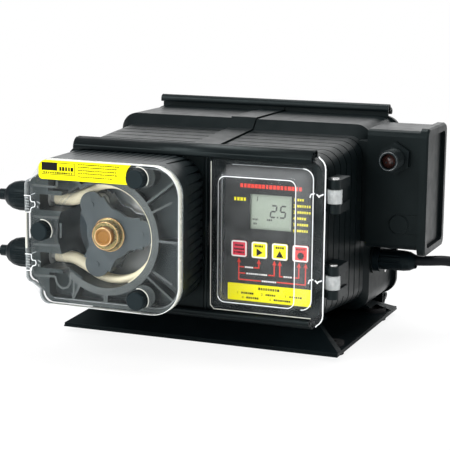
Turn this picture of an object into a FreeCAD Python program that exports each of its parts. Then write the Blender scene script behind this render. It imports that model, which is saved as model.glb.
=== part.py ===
import FreeCAD, Part
import math
import os

V = FreeCAD.Vector

# Peristaltic metering pump, in millimetres.
# Origin: on the floor, at the centre of the base's four mounting holes.
# +X points to the operator's right, the front faces -Y, and +Z is up.

# Case: two ribbed half shells between a pair of front plates and a rear panel
case_front_y = -93.0
case_rear_y = 88.0
case_mid_z = 93.0
wall = 3.0
corner_r = 14.0
front_half_w = 105.5
front_half_h = 61.5
shoulder_y = 7.0
shoulder_length = 8.0
shoulder_half_w = 107.5
shoulder_half_h = 67.5
rear_half_w = 110.5
rear_half_h = 76.0
front_plate_t = 5.0
rear_panel_t = 4.0
rear_panel_margin = 3.5
joint_x = 11.5
band_width = 22.0
band_height = 1.2
groove_count = 7
groove_pitch = 13.0
groove_width = 1.5
groove_depth = 1.6
first_groove_y = -80.0

# Rails: spring clips that slide over the beads of the plates and shells
rail_lobe_r = 4.1
rail_wall = 1.4
rail_skirt_r = 2.5
front_rail_half = 97.7
rear_rail_half = 104.2
rear_rail_rise = 3.6
bead_half = 2.1
bead_height = 1.8
neck_half = 1.0

# Base: folded sheet on four rubber feet
base_half_w = 116.0
base_half_d = 82.0
base_sheet = 3.0
foot_height = 4.0
bolt_spacing_x = 208.0
bolt_spacing_y = 116.0
bolt_hole_r = 3.25
foot_r = 9.0
foot_neck_r = 6.0
foot_bead_t = 2.5
wall_lean = 26.0
wall_flare = 27.0
flange_depth = 18.0

# Pump head
head_x = -46.0
head_z = 95.2
head_mid_z = 96.5
head_depth = 55.0
head_front_half_h = 55.0
head_front_left = -96.5
head_front_right = 18.0
head_rear_left = -99.5
head_rear_right = 9.6
head_corner_r = 22.0
head_left_r = 8.0
port_spread = 22.2
port_block_left = -108.0
port_block_half_h = 39.5
port_block_r = 5.0
port_block_flare = 17.0
track_r = 39.0
cavity_depth = 35.0
fin_pitch = 6.2
fin_depth = 3.6
fin_width = 3.4
fin_length = 44.0
pocket_depth = 10.0
head_wall = 4.0

# Rotor, rollers and tube
shaft_r = 5.0
running_gap = 0.05
lobe_end_r = 9.6
lobe_turn = 5.0
lobe_waist_r = 19.0
lobe_flank_r = 26.5
lobe_flank_reach = 44.0
lobe_fill_r = 30.0
lobe_fill_half = 16.0
rotor_plate_t = 3.0
roller_r = 6.5
roller_length = 14.0
roller_gap = 0.65
pin_r = 2.0
tube_r = 4.75
tube_wall = 1.6
tube_press = 5.6
tube_axis_y = -128.0
tube_slant = 30.0
tube_bend_r = 25.0
channel_gap = 1.2
plate_gap = 0.5
bush_r = 8.0
hub_r = 12.6
button_r = 7.2

# Ports: fitting, ferrule and compression nut
port_bore_r = 3.25
spigot_r = 8.0
nut_r = 11.5
nut_length = 27.0
nut_gap = 0.15
ferrule_tail = 6.0
collar_t = 4.0

# Clear head cover and thumb screws
cover_plate_t = 3.0
cover_depth = 8.0
cover_rim = 3.2
cover_gap = 0.3
screw_right_x = -13.0
screw_left_x = -92.0
screw_high_z = 142.3
screw_side_z = 98.0
screw_low_z = 52.7
knob_r = 7.2
knob_length = 9.0
screw_shank_r = 3.0

# Control panel and its hinged clear cover
panel_left = 17.0
strip_left = 10.8
lid_left = 17.8
lid_right = 108.0
lid_low = 35.3
lid_high = 150.2
lid_corner_r = 9.0
lid_ear_left = 98.6
lid_ear_low = 29.4
lid_ear_high = 157.0
lid_t = 2.0
lid_rim_w = 1.6
lid_rim_t = 0.8
lid_box_left = 26.6
lid_box_right = 98.7
lid_box_low = 41.1
lid_box_high = 147.4
lid_box_depth = 25.2
lid_taper = 4.9
lid_round = 3.0
hinge_x = 113.2
hinge_y = -89.0
hinge_z = (63.0, 127.5)
knuckle_r = 5.4
knuckle_length = 10.4
hinge_pin_r = 2.0
hinge_ear_t = 7.0
key_size = 12.4
key_pitch = 16.3
key_row_x = 40.1
key_row_z = 83.4
key_travel = 0.4
key_stand = 0.8
window_x = (48.3, 81.2)
window_z = (99.1, 125.6)
overlay_x = (28.5, 96.5)
overlay_z = (42.5, 146.5)
overlay_t = 0.6
strip_x = (30.7, 94.0)
strip_z = (44.3, 57.1)

# Drive behind the head
gearbox_w = 64.0
gearbox_h = 78.0
gearbox_d = 34.0
motor_r = 29.0
motor_length = 52.0

# Junction box, connector and cable gland on the right side
box_face_x = 112.0
box_length = 42.5
box_front_y = -5.0
box_rear_y = 53.0
box_low_z = 74.0
box_high_z = 168.0
box_wall = 2.5
cap_t = 6.5
cap_lip = 3.2
conn_x = 135.5
conn_z = 146.8
conn_r = 8.0
conn_length = 23.0
conn_shank_r = 6.9
conn_pin_ring_r = 2.8
conn_pin_r = 0.7
hex_across = 22.0
hex_t = 3.4
flange_t = 1.6
thread_gap = 0.3
plug_x = 139.0
plug_z = 94.4
gland_y = 27.0
gland_z = 59.0
gland_r = 8.35
gland_end_x = 146.0

# Power cord
cord_r = 4.15
cord_gland_bore = 4.45
nut_mouth_r = 5.2
coil_mid_r = 45.0
coil_centre = (278.0, 128.3)
coil_columns = 3
coil_layers = 2

# Values worked out from the ones above
shell_front_y = case_front_y + front_plate_t
shell_rear_y = case_rear_y - rear_panel_t
shoulder_end_y = shoulder_y + shoulder_length
head_face_y = case_front_y - head_depth
cavity_floor_y = head_face_y + cavity_depth
cover_back_y = head_face_y - cover_gap
cover_face_y = cover_back_y - cover_depth
lobe_pin_r = track_r - tube_press - roller_gap - roller_r
tube_width = tube_press + (math.pi * 2.0 * tube_r - math.pi * tube_press) / 2.0
base_z = foot_height
sheet_top_z = foot_height + base_sheet
lid_back_y = case_front_y - cover_gap


def box(x0, x1, y0, y1, z0, z1):
    return Part.makeBox(x1 - x0, y1 - y0, z1 - z0, V(x0, y0, z0))


def rod_x(x0, x1, y, z, r):
    return Part.makeCylinder(r, x1 - x0, V(x0, y, z), V(1, 0, 0))


def rod_y(y0, y1, x, z, r):
    return Part.makeCylinder(r, y1 - y0, V(x, y0, z), V(0, 1, 0))


def rod_z(z0, z1, x, y, r):
    return Part.makeCylinder(r, z1 - z0, V(x, y, z0), V(0, 0, 1))


def fuse(shapes):
    result = shapes[0]
    if len(shapes) > 1:
        result = result.multiFuse(shapes[1:])
    return result.removeSplitter()


def cut(shape, tools):
    return shape.cut(Part.makeCompound(tools)).removeSplitter()


def rounded_wire(x0, x1, z0, z1, radii, y):
    # Rounded rectangle in an XZ plane; radii run low-left, low-right, high-right, high-left
    corners = [(x0, z0, 1, 1), (x1, z0, -1, 1), (x1, z1, -1, -1), (x0, z1, 1, -1)]
    edges = []
    points = []
    for index, (x, z, sx, sz) in enumerate(corners):
        r = radii[index]
        along = V(x + sx * r, y, z)
        up = V(x, y, z + sz * r)
        mid = V(x + sx * r * (1 - math.sqrt(0.5)), y, z + sz * r * (1 - math.sqrt(0.5)))
        if index in (0, 2):
            points.append((up, mid, along))
        else:
            points.append((along, mid, up))
    for index, (start, mid, end) in enumerate(points):
        edges.append(Part.Arc(start, mid, end).toShape())
        edges.append(Part.LineSegment(end, points[(index + 1) % 4][0]).toShape())
    return Part.Wire(edges)


def slab(wire, y0, y1):
    moved = wire.copy()
    moved.translate(V(0, y0 - wire.BoundBox.YMin, 0))
    return Part.Face(moved).extrude(V(0, y1 - y0, 0))


def loft(wires):
    return Part.makeLoft(wires, True, True)


def polygon_prism(points, direction):
    return Part.Face(Part.makePolygon(points + [points[0]])).extrude(direction)


def turned_x(profile, y, z):
    # Solid of revolution about an X line; profile points are (x, radius)
    points = [V(x, y, z + r) for x, r in profile]
    face = Part.Face(Part.makePolygon(points + [points[0]]))
    return face.revolve(V(0, y, z), V(1, 0, 0), 360)


def turned_y(profile, x, z):
    # Solid of revolution about a Y line; profile points are (y, radius)
    points = [V(x + r, y, z) for y, r in profile]
    face = Part.Face(Part.makePolygon(points + [points[0]]))
    return face.revolve(V(x, 0, z), V(0, 1, 0), 360)


def polar(radius, degrees):
    angle = math.radians(degrees)
    return radius * math.cos(angle), radius * math.sin(angle)


def case_section(y, inset=0.0):
    # Outline of the case at a depth y, drawn in by inset
    if y <= shoulder_y:
        t = (y - shell_front_y) / (shoulder_y - shell_front_y)
        half_w = front_half_w + t * (shoulder_half_w - front_half_w)
        half_h = front_half_h + t * (shoulder_half_h - front_half_h)
    else:
        t = min(1.0, (y - shoulder_y) / shoulder_length)
        half_w = shoulder_half_w + t * (rear_half_w - shoulder_half_w)
        half_h = shoulder_half_h + t * (rear_half_h - shoulder_half_h)
    half_w -= inset
    half_h -= inset
    radii = [corner_r - inset] * 4
    return rounded_wire(-half_w, half_w, case_mid_z - half_h, case_mid_z + half_h, radii, y)


def case_solid(inset=0.0, over=0.0):
    # The whole case form; over makes it run past both open ends
    wires = []
    if over:
        first = case_section(shell_front_y, inset)
        first.translate(V(0, -over, 0))
        wires.append(first)
    stations = [shell_front_y, shoulder_y, shoulder_end_y, shell_rear_y]
    wires += [case_section(y, inset) for y in stations]
    if over:
        last = case_section(shell_rear_y, inset)
        last.translate(V(0, over, 0))
        wires.append(last)
    return loft(wires)


def rail_place(front, top):
    # Returns a function from (outward, up) at a rail to (y, z) in the part
    plane_y = shell_front_y if front else shell_rear_y
    half_h = front_half_h if front else rear_half_h
    side_y = -1 if front else 1
    side_z = 1 if top else -1

    def place(outward, up):
        return plane_y + side_y * outward, case_mid_z + side_z * (half_h + up)
    return place


def rail_block(place, x0, x1, out0, out1, up0, up1):
    y0, z0 = place(out0, up0)
    y1, z1 = place(out1, up1)
    return box(x0, x1, min(y0, y1), max(y0, y1), min(z0, z1), max(z0, z1))


def rail(front, top):
    # Two hollow lobes: the upper clasps the beads, the lower one lies before the plate
    place = rail_place(front, top)
    half = front_rail_half if front else rear_rail_half
    rise = 0.0 if front else rear_rail_rise
    plate_t = front_plate_t if front else rear_panel_t
    lobe_up = rise + bead_height + 0.4
    skirt_out = plate_t + rail_skirt_r + 0.3
    skirt_up = rise - 0.2
    lobe_y, lobe_z = place(0.0, lobe_up)
    skirt_y, skirt_z = place(skirt_out, skirt_up)
    lobe = rod_x(-half, half, lobe_y, lobe_z, rail_lobe_r)
    skirt = rod_x(-half, half, skirt_y, skirt_z, rail_skirt_r)
    bridge = rail_block(place, -half, half, 0.0, skirt_out, rise + 0.3, rise + 0.3 + 2 * rail_wall)
    body = fuse([lobe, skirt, bridge])
    inner_r = rail_lobe_r - rail_wall
    tools = [
        rod_x(-half - 1, half + 1, lobe_y, lobe_z, inner_r),
        rod_x(-half - 1, half + 1, skirt_y, skirt_z, rail_skirt_r - rail_wall * 0.8),
        rail_block(place, -half - 1, half + 1, -neck_half - 0.4, neck_half + 0.4, rise - 9, lobe_up),
        rail_block(place, -half - 1, half + 1, -9.0, plate_t + 0.25, rise - 9, rise + 0.25),
        rail_block(place, -half - 1, half + 1, skirt_out - 0.7, skirt_out + 0.7, rise - 9, skirt_up),
    ]
    return cut(body, tools)


def bead(front, top, plate_side, x0, x1):
    # Half of the bead that a rail clasps: on a plate (outward) or on a shell (inward)
    place = rail_place(front, top)
    rise = 0.0 if front else rear_rail_rise
    side = 1 if plate_side else -1
    neck = rail_block(place, x0, x1, 0.0, side * neck_half, -4.0, rise + bead_height)
    head = rail_block(place, x0, x1, 0.0, side * bead_half, rise + 1.2, rise + 1.2 + bead_height)
    return [neck, head]


def beads(front, plate_side, x0, x1):
    half = (front_rail_half if front else rear_rail_half) - 1.0
    low = max(x0, -half)
    high = min(x1, half)
    return bead(front, True, plate_side, low, high) + bead(front, False, plate_side, low, high)


def front_outline(x0, x1, radii, inset, y):
    low = case_mid_z - front_half_h + inset
    high = case_mid_z + front_half_h - inset
    return rounded_wire(x0, x1, low, high, radii, y)


def groove_cutters():
    # Thin rings round the case that leave ribs between them
    ring = case_solid(-6.0, 1.0).cut(case_solid(groove_depth, 2.0))
    slabs = []
    for index in range(groove_count):
        y = first_groove_y + index * groove_pitch
        slabs.append(box(-140, 140, y - groove_width / 2, y + groove_width / 2, 0, 200))
    grooves = ring.common(Part.makeCompound(slabs))
    band = box(joint_x - band_width - 1, joint_x, -100, 100, 0, 200)
    return grooves.cut(band)


def side_pads():
    # Flat pads on the right side that carry the junction box and the cable gland
    root_x = rear_half_w - wall - 4.0
    return [
        box(root_x, box_face_x, box_front_y + 4, box_rear_y - 4, box_low_z + 4, box_high_z - 10),
        rod_x(root_x, box_face_x, gland_y, gland_z, gland_r + 4.0),
    ]


def base_pads():
    # Solid feet of the case that stand on the base's two flanges
    front_y = -base_half_d + wall_lean
    rear_y = base_half_d - wall_lean
    top_z = case_mid_z - front_half_h + 6.0
    pads = []
    for x0, x1 in ((-80.0, -50.0), (40.0, 70.0)):
        pads.append(box(x0, x1, front_y + 2, front_y + flange_depth - 2, front_flange_z(), top_z))
        pads.append(box(x0, x1, rear_y - flange_depth + 2, rear_y - 2, rear_flange_z(), top_z))
    return pads


def front_flange_z():
    return case_mid_z - shoulder_half_h - 0.5


def rear_flange_z():
    return case_mid_z - rear_half_h - 0.2


def base_screw_spots():
    front_y = -base_half_d + wall_lean + flange_depth / 2
    rear_y = base_half_d - wall_lean - flange_depth / 2
    spots = []
    for x in (-65.0, 55.0):
        spots.append((x, front_y, front_flange_z()))
        spots.append((x, rear_y, rear_flange_z()))
    return spots


def make_case():
    outer = case_solid()
    band_ring = case_solid(-band_height).common(
        box(joint_x - band_width, joint_x, shell_front_y + rail_lobe_r + 0.5, shell_rear_y, case_mid_z, 200))
    shell = fuse([outer, band_ring] + side_pads() + base_pads())
    shell = shell.cut(groove_cutters())
    tools = [case_solid(wall, 3.0)]
    tools.append(rod_x(90, 120, gland_y, gland_z, 7.6))
    tools.append(rod_x(90, 120, (box_front_y + box_rear_y) / 2, (box_low_z + box_high_z) / 2, 9.0))
    for x, y, z in base_screw_spots():
        tools.append(rod_z(z - 1, z + 9, x, y, 1.7))
    shell = cut(shell, tools)
    left = shell.common(box(-150, joint_x, -150, 150, 0, 200))
    right = shell.common(box(joint_x, 150, -150, 150, 0, 200))
    notch = box(joint_x - 0.4, joint_x + 0.6, -150, 150, 0, 200).cut(case_solid(1.2, 20.0))
    left = fuse([left] + beads(True, False, -150, joint_x) + beads(False, False, -150, joint_x))
    right = fuse([right] + beads(True, False, joint_x, 150) + beads(False, False, joint_x, 150))
    inner = case_solid(wall, 3.0)
    return cut(left, [notch, inner]), cut(right, [notch, inner])


def make_rear_panel():
    margin = rear_panel_margin
    low = case_mid_z - rear_half_h
    high = case_mid_z + rear_half_h
    half_w = rear_half_w + margin
    outline = rounded_wire(-half_w, half_w, low, high, [corner_r] * 4, shell_rear_y)
    plate = slab(outline, shell_rear_y, case_rear_y)
    recess = rounded_wire(-half_w + 14, half_w - 14, low + 14, high - 14, [6.0] * 4, case_rear_y - 1)
    plate = cut(plate, [slab(recess, case_rear_y - 1.0, case_rear_y + 1)])
    return fuse([plate] + beads(False, True, -200, 200))


def make_drive_plate():
    radii = [corner_r - 2, 1.0, 1.0, corner_r - 2]
    outline = front_outline(-front_half_w, strip_left - 0.2, radii, 1.0, case_front_y)
    plate = slab(outline, case_front_y, shell_front_y)
    rim = front_outline(-front_half_w + 3, strip_left - 3, [8.0, 1.0, 1.0, 8.0], 6.0, case_front_y)
    lip = slab(rim, case_front_y + 2.0, shell_front_y + 2.5)
    core = front_outline(-front_half_w + 5, strip_left - 5, [6.0, 1.0, 1.0, 6.0], 8.0, case_front_y)
    lip = lip.cut(slab(core, case_front_y + 1.0, shell_front_y + 4)).common(case_solid(wall + 0.3, 10.0))
    plate = fuse([plate, lip] + beads(True, True, -200, strip_left - 0.2))
    return cut(plate, [rod_y(case_front_y - 1, shell_front_y + 3, head_x, head_z, bush_r + 4.0)])


def make_control_panel():
    radii = [1.0, corner_r - 2, corner_r - 2, 1.0]
    outline = front_outline(panel_left, front_half_w, radii, 1.0, case_front_y)
    plate = slab(outline, case_front_y, shell_front_y)
    plate = fuse([plate] + beads(True, True, panel_left, 200))
    tools = [box(window_x[0] - 1, window_x[1] + 1, -200, 0, window_z[0] - 1, window_z[1] + 1)]
    seat_y = case_front_y + overlay_t
    tools.append(box(overlay_x[0], overlay_x[1], -200, seat_y, overlay_z[0], overlay_z[1]))
    hole = key_size / 2 - 1.0
    for index in range(4):
        x = key_row_x + index * key_pitch
        tools.append(box(x - hole, x + hole, -200, 0, key_row_z - hole, key_row_z + hole))
    return cut(plate, tools)


def make_centre_strip():
    # Ridged cover strip over the joint of the two halves
    low = case_mid_z - front_half_h + 1.0
    high = case_mid_z + front_half_h - 1.0
    x0 = strip_left
    x1 = panel_left - 0.2
    body = box(x0, x1, case_front_y + 0.5, shell_front_y, low, high)
    ridges = [
        rod_z(low, high, x0 + 1.5, case_front_y + 0.8, 1.2),
        rod_z(low, high, x1 - 1.5, case_front_y + 0.8, 1.2),
    ]
    return fuse([body] + ridges + beads(True, True, x0, x1))


def make_overlay():
    y0 = case_front_y
    sheet = box(overlay_x[0], overlay_x[1], y0, y0 + overlay_t, overlay_z[0], overlay_z[1])
    tools = [box(window_x[0], window_x[1], -200, 0, window_z[0], window_z[1])]
    hole = key_size / 2 + 0.25
    for index in range(4):
        x = key_row_x + index * key_pitch
        tools.append(box(x - hole, x + hole, -200, 0, key_row_z - hole, key_row_z + hole))
    return cut(sheet, tools)


def make_key(index):
    # Key cap with a stem that reaches through the panel to its switch
    x = key_row_x + index * key_pitch
    half = key_size / 2
    front = case_front_y - key_stand
    outline = rounded_wire(x - half, x + half, key_row_z - half, key_row_z + half, [1.6] * 4, front)
    cap = slab(outline, front, case_front_y + overlay_t - key_travel - 0.05)
    stem_half = half - 1.4
    stem = box(x - stem_half, x + stem_half, front + 0.5, shell_front_y + 1.0,
               key_row_z - stem_half, key_row_z + stem_half)
    return fuse([cap, stem])


def make_window():
    y0 = case_front_y + 0.1
    pane = box(window_x[0], window_x[1], y0, y0 + 1.2, window_z[0], window_z[1])
    flange = box(window_x[0] - 1, window_x[1] + 1, y0 + overlay_t, y0 + 1.7,
                 window_z[0] - 1, window_z[1] + 1)
    return fuse([pane, flange])


def make_display_module():
    y0 = case_front_y + 2.0
    glass = box(window_x[0] - 0.8, window_x[1] + 0.8, y0, y0 + 2.4, window_z[0] - 0.8, window_z[1] + 0.8)
    y1 = shell_front_y
    frame = box(window_x[0] - 4, window_x[1] + 4, y1 + 0.2, board_y() - 0.2, window_z[0] - 5, window_z[1] + 5)
    neck = box(window_x[0] - 0.6, window_x[1] + 0.6, y0 + 2, y1 + 1, window_z[0] - 0.6, window_z[1] + 0.6)
    return fuse([glass, neck, frame])


def board_y():
    return shell_front_y + 8.0


def make_control_board():
    # Printed board with its switches, a chip and standoffs up to the panel
    y0 = board_y()
    board = box(24, 99, y0, y0 + 1.6, 42, 144)
    parts = [board]
    for index in range(4):
        x = key_row_x + index * key_pitch
        switch_front = shell_front_y + 1.0 + key_travel + 0.1
        parts.append(box(x - 3, x + 3, switch_front, y0 + 0.5, key_row_z - 3, key_row_z + 3))
    for x in (27.0, 96.0):
        for z in (46.0, 140.0):
            parts.append(rod_y(shell_front_y, y0 + 0.5, x, z, 3.0))
    parts.append(box(50, 70, y0 + 1, y0 + 4, 60, 74))
    parts.append(box(76, 90, y0 + 1, y0 + 12, 48, 60))
    parts.append(rod_y(y0 + 1, y0 + 14, 36, 128, 5.0))
    return fuse(parts)


def make_transformer():
    # Laminated core on a foot plate that stands on the case floor
    floor_z = case_mid_z - rear_half_h + wall
    core = box(40, 84, 28, 68, floor_z + 2.2, floor_z + 42)
    winding = box(34, 90, 36, 60, floor_z + 9, floor_z + 35)
    foot = box(30, 94, 32, 64, floor_z, floor_z + 2.5)
    holes = [rod_z(floor_z - 1, floor_z + 2.15, x, y, 2.2) for x, y, z in base_screw_spots()]
    return cut(fuse([core, winding, foot]), holes)


def lid_flange(inset, y0, y1):
    # Flat edge of the clear cover; its right side is taller, past the ends of the rails
    r = lid_corner_r - inset
    field = rounded_wire(lid_left + inset, lid_right - inset, lid_low + inset, lid_high - inset,
                         [3.0 - inset * 0.6, r, r, 3.0 - inset * 0.6], y0)
    ear = rounded_wire(lid_ear_left + inset, lid_right - inset, lid_ear_low + inset, lid_ear_high - inset,
                       [4.0, r, r, 4.0], y0)
    return slab(field, y0, y1).fuse(slab(ear, y0, y1)).removeSplitter()


def lid_box_form(inset, depth):
    # Tapered, rounded box of the clear cover, as rings from its root to its face
    root_y = lid_back_y
    wires = []
    rings = [(inset, 0.0)]
    for degrees in (0, 30, 60, 90):
        angle = math.radians(degrees)
        drop = lid_round * (1 - math.cos(angle))
        reach = depth - lid_round * (1 - math.sin(angle))
        rings.append((inset + lid_taper * reach / lid_box_depth + drop, reach))
    for pull, reach in rings:
        r = max(2.0, 8.0 - pull * 0.5)
        wires.append(rounded_wire(lid_box_left + pull, lid_box_right - pull, lid_box_low + pull,
                                  lid_box_high - pull, [r] * 4, root_y - reach))
    return loft(wires)


def make_control_cover():
    front = lid_back_y - lid_t
    flange = lid_flange(0.0, front, lid_back_y)
    rim = lid_flange(0.0, front - lid_rim_t, front + 0.2)
    rim = rim.cut(lid_flange(lid_rim_w, front - 2, front + 1))
    parts = [flange, rim, lid_box_form(0.0, lid_box_depth)]
    for z in hinge_z:
        low = z - knuckle_length / 2
        high = z + knuckle_length / 2
        parts.append(rod_z(low, high, hinge_x, hinge_y, knuckle_r))
        arm_low = low + 1.2
        arm_high = high - 1.2
        arm = [
            V(lid_box_right - 3, front, arm_low),
            V(lid_box_right - 3, front - 2.6, arm_low),
            V(hinge_x - 1.0, front - 0.6, arm_low),
            V(hinge_x + 1.5, hinge_y - 2.6, arm_low),
            V(hinge_x - 4.6, hinge_y - 2.6, arm_low),
            V(lid_right - 1.2, lid_back_y, arm_low),
        ]
        parts.append(polygon_prism(arm, V(0, 0, arm_high - arm_low)))
    tab_z = (lid_low + lid_high) / 2
    parts.append(box(lid_left - 2.4, lid_left + 1, front - 0.6, lid_back_y - 0.7, tab_z - 8, tab_z + 8))
    body = fuse(parts)
    tools = [lid_box_form(lid_t, lid_box_depth - lid_t)]
    hollow = rounded_wire(lid_box_left + lid_t, lid_box_right - lid_t, lid_box_low + lid_t,
                          lid_box_high - lid_t, [7.0] * 4, lid_back_y)
    tools.append(slab(hollow, lid_back_y - 0.01, lid_back_y + 1))
    for z in hinge_z:
        tools.append(rod_z(z - 20, z + 20, hinge_x, hinge_y, hinge_pin_r + running_gap))
    return cut(body, tools)


def make_hinge_brackets():
    # Each bracket is a back web on the case side with an ear above and below the knuckle
    brackets = []
    for z in hinge_z:
        ears = []
        gap = knuckle_length / 2 + 0.3
        for low, reach in ((z + gap, 4.6), (z - gap - hinge_ear_t, 4.6)):
            high = low + hinge_ear_t
            ears.append(rod_z(low, high, hinge_x, hinge_y, reach))
            ear = [
                V(front_half_w - 1.5, hinge_y + 1.6, low),
                V(hinge_x + reach, hinge_y, low),
                V(hinge_x + reach, hinge_y + 22.0, low),
                V(front_half_w - 1.5, hinge_y + 26.0, low),
            ]
            ears.append(polygon_prism(ear, V(0, 0, hinge_ear_t)))
        web = box(front_half_w - 1.5, hinge_x + 3.0, hinge_y + 9.0, hinge_y + 21.0,
                  z - gap - 0.5, z + gap + 0.5)
        bracket = fuse(ears + [web])
        bracket = bracket.cut(case_solid())
        bracket = bracket.cut(rod_z(z - 40, z + 40, hinge_x, hinge_y, hinge_pin_r))
        brackets.append(max(bracket.Solids, key=lambda solid: solid.Volume))
    return Part.makeCompound(brackets)


def make_hinge_pins():
    reach = knuckle_length / 2 + 0.3 + hinge_ear_t
    pins = []
    for z in hinge_z:
        stem = rod_z(z - reach, z + reach, hinge_x, hinge_y, hinge_pin_r)
        head = rod_z(z + reach, z + reach + 1.2, hinge_x, hinge_y, hinge_pin_r + 1.2)
        pins.append(fuse([stem, head]))
    return Part.makeCompound(pins)


def head_outline(t, inset, y):
    # Outline of the head: t is 0 at its front face and 1 where it meets the drive plate
    left = head_front_left + t * (head_rear_left - head_front_left) + inset
    right = head_front_right + t * (head_rear_right - head_front_right) - inset
    low = head_mid_z - head_front_half_h + inset
    high = head_mid_z + head_front_half_h - inset
    big = head_corner_r - inset
    small = max(1.0, head_left_r - inset)
    return rounded_wire(left, right, low, high, [small, big, big, small], y)


def port_block_wire(inset, y):
    # The part of the head outline that stands out to the left, round the tube ports
    left = port_block_left + inset
    right = head_front_left + 20.0
    low = head_mid_z - port_block_half_h + inset
    high = head_mid_z + port_block_half_h - inset
    r = port_block_r
    a = V(left, y, low + r)
    b = V(left + r, y, low)
    c = V(right, y, low - port_block_flare)
    d = V(right, y, high + port_block_flare)
    e = V(left + r, y, high)
    f = V(left, y, high - r)
    knee_x = (b.x * 2 + c.x) / 3
    knee = port_block_flare * 0.62
    curve_low = Part.BSplineCurve()
    curve_low.interpolate([b, V(knee_x, y, low - knee), c])
    curve_high = Part.BSplineCurve()
    curve_high.interpolate([d, V(knee_x, y, high + knee), e])
    bend = r * (1 - math.sqrt(0.5))
    edges = [
        Part.Arc(a, V(left + bend, y, low + bend), b).toShape(),
        curve_low.toShape(),
        Part.LineSegment(c, d).toShape(),
        curve_high.toShape(),
        Part.Arc(e, V(left + bend, y, high - bend), f).toShape(),
        Part.LineSegment(f, a).toShape(),
    ]
    return Part.Wire(edges)


def screw_spots():
    return [
        (screw_right_x, screw_high_z),
        (screw_left_x, screw_side_z),
        (screw_right_x, screw_low_z),
    ]


def fin_spots():
    # Points and outward directions along the top, right and bottom of the head's rear edge
    left = head_rear_left
    right = head_rear_right
    low = head_mid_z - head_front_half_h
    high = head_mid_z + head_front_half_h
    r = head_corner_r
    straight_x = right - r - (left + head_left_r)
    straight_z = high - low - 2 * r
    quarter = math.pi * r / 2
    total = 2 * straight_x + straight_z + 2 * quarter
    count = int(total / fin_pitch)
    spots = []
    for index in range(count):
        s = (index + 0.5) * total / count
        if s < straight_x:
            spots.append((left + head_left_r + s, high, 90.0))
            continue
        s -= straight_x
        if s < quarter:
            degrees = 90.0 - math.degrees(s / r)
            dx, dz = polar(r, degrees)
            spots.append((right - r + dx, high - r + dz, degrees))
            continue
        s -= quarter
        if s < straight_z:
            spots.append((right, high - r - s, 0.0))
            continue
        s -= straight_z
        if s < quarter:
            degrees = -math.degrees(s / r)
            dx, dz = polar(r, degrees)
            spots.append((right - r + dx, low + r + dz, degrees))
            continue
        s -= quarter
        spots.append((right - r - s, low, -90.0))
    return spots


def fin_cutter(x, z, degrees):
    # Notch between two fins: a wedge that deepens from the face towards the drive plate
    out_x, out_z = polar(1.0, degrees)
    side_x, side_z = -out_z, out_x
    rear_y = case_front_y + 1.0
    front_y = case_front_y - fin_length
    slope = 0.0
    if abs(degrees) < 45:
        slope = (head_front_right - head_rear_right) / head_depth
    lift = 6.0

    def corner(out, side, y):
        return V(x + out_x * out + side_x * side, y, z + out_z * out + side_z * side)
    rear = [corner(lift, fin_width, rear_y), corner(lift, -fin_width, rear_y), corner(-fin_depth, 0, rear_y)]
    rise = slope * fin_length
    front = [corner(lift + rise, fin_width * 0.4, front_y), corner(lift + rise, -fin_width * 0.4, front_y),
             corner(rise - 0.4, 0, front_y)]
    wires = [Part.makePolygon(rear + [rear[0]]), Part.makePolygon(front + [front[0]])]
    return loft(wires)


def make_head_housing():
    front_y = head_face_y
    body = loft([head_outline(0.0, 0.0, front_y), head_outline(1.0, 0.0, case_front_y)])
    block_depth = 36.0
    block = slab(port_block_wire(0.0, front_y), front_y, front_y + block_depth)
    keep = box(port_block_left - 1, head_front_left + 6, -200, 0, head_mid_z - head_front_half_h,
               head_mid_z + head_front_half_h)
    body = body.fuse(block.common(keep)).removeSplitter()
    fins = [fin_cutter(*spot) for spot in fin_spots()]
    body = body.cut(Part.makeCompound(fins))
    tools = [rod_y(front_y - 1, cavity_floor_y, head_x, head_z, track_r)]
    pocket = slab(head_outline(0.0, head_wall, front_y), front_y - 1, front_y + pocket_depth)
    left_stop = box(port_block_left - 1, head_x - track_r + 4, -200, 0,
                    head_z - port_spread - 9, head_z + port_spread + 9)
    keeps = [rod_y(-200, 0, head_x, head_z, track_r + 3.2), left_stop]
    keeps += [rod_y(-200, 0, x, z, knob_r + 1.5) for x, z in screw_spots()]
    for degrees in (38, 0, -38, -90, -118, 90, 118):
        rib = box(track_r, track_r + 60, -200, 0, -0.9, 0.9)
        rib.rotate(V(0, 0, 0), V(0, 1, 0), -degrees)
        rib.translate(V(head_x, 0, head_z))
        keeps.append(rib)
    tools.append(pocket.cut(Part.makeCompound(keeps)))
    for side in (-1, 1):
        z = head_z + side * port_spread
        channel = tube_r + channel_gap
        bend_x, slant_length = tube_corner()
        tools.append(rod_x(port_bulkhead_x(), head_x + bend_x, tube_axis_y, z, channel))
        tools.append(box(port_bulkhead_x(), head_x + bend_x, front_y - 1, tube_axis_y, z - channel, z + channel))
        slanted = [
            rod_x(-channel * 0.3, slant_length, 0, 0, channel),
            box(-channel * 0.3, slant_length, front_y - 1 - tube_axis_y, 0, -channel, channel),
        ]
        for piece in slanted:
            piece.rotate(V(0, 0, 0), V(0, 1, 0), -side * tube_slant)
            piece.translate(V(head_x + bend_x, tube_axis_y, z))
            tools.append(piece)
        tools.append(rod_x(port_block_left - 1, port_bulkhead_x() + 1, tube_axis_y, z, spigot_r - 1.0))
    for x, z in screw_spots():
        tools.append(rod_y(front_y - 1, front_y + 16, x, z, screw_shank_r + 0.15))
    tools.append(rod_y(cavity_floor_y - 1, case_front_y + 1, head_x, head_z, bush_r))
    body = cut(body, tools)
    nose = rod_y(case_front_y, shell_front_y, head_x, head_z, bush_r + 3.9)
    nose = nose.cut(rod_y(case_front_y - 1, shell_front_y + 1, head_x, head_z, bush_r))
    return fuse([body, nose])


def port_bulkhead_x():
    return port_block_left + 8.0


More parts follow.
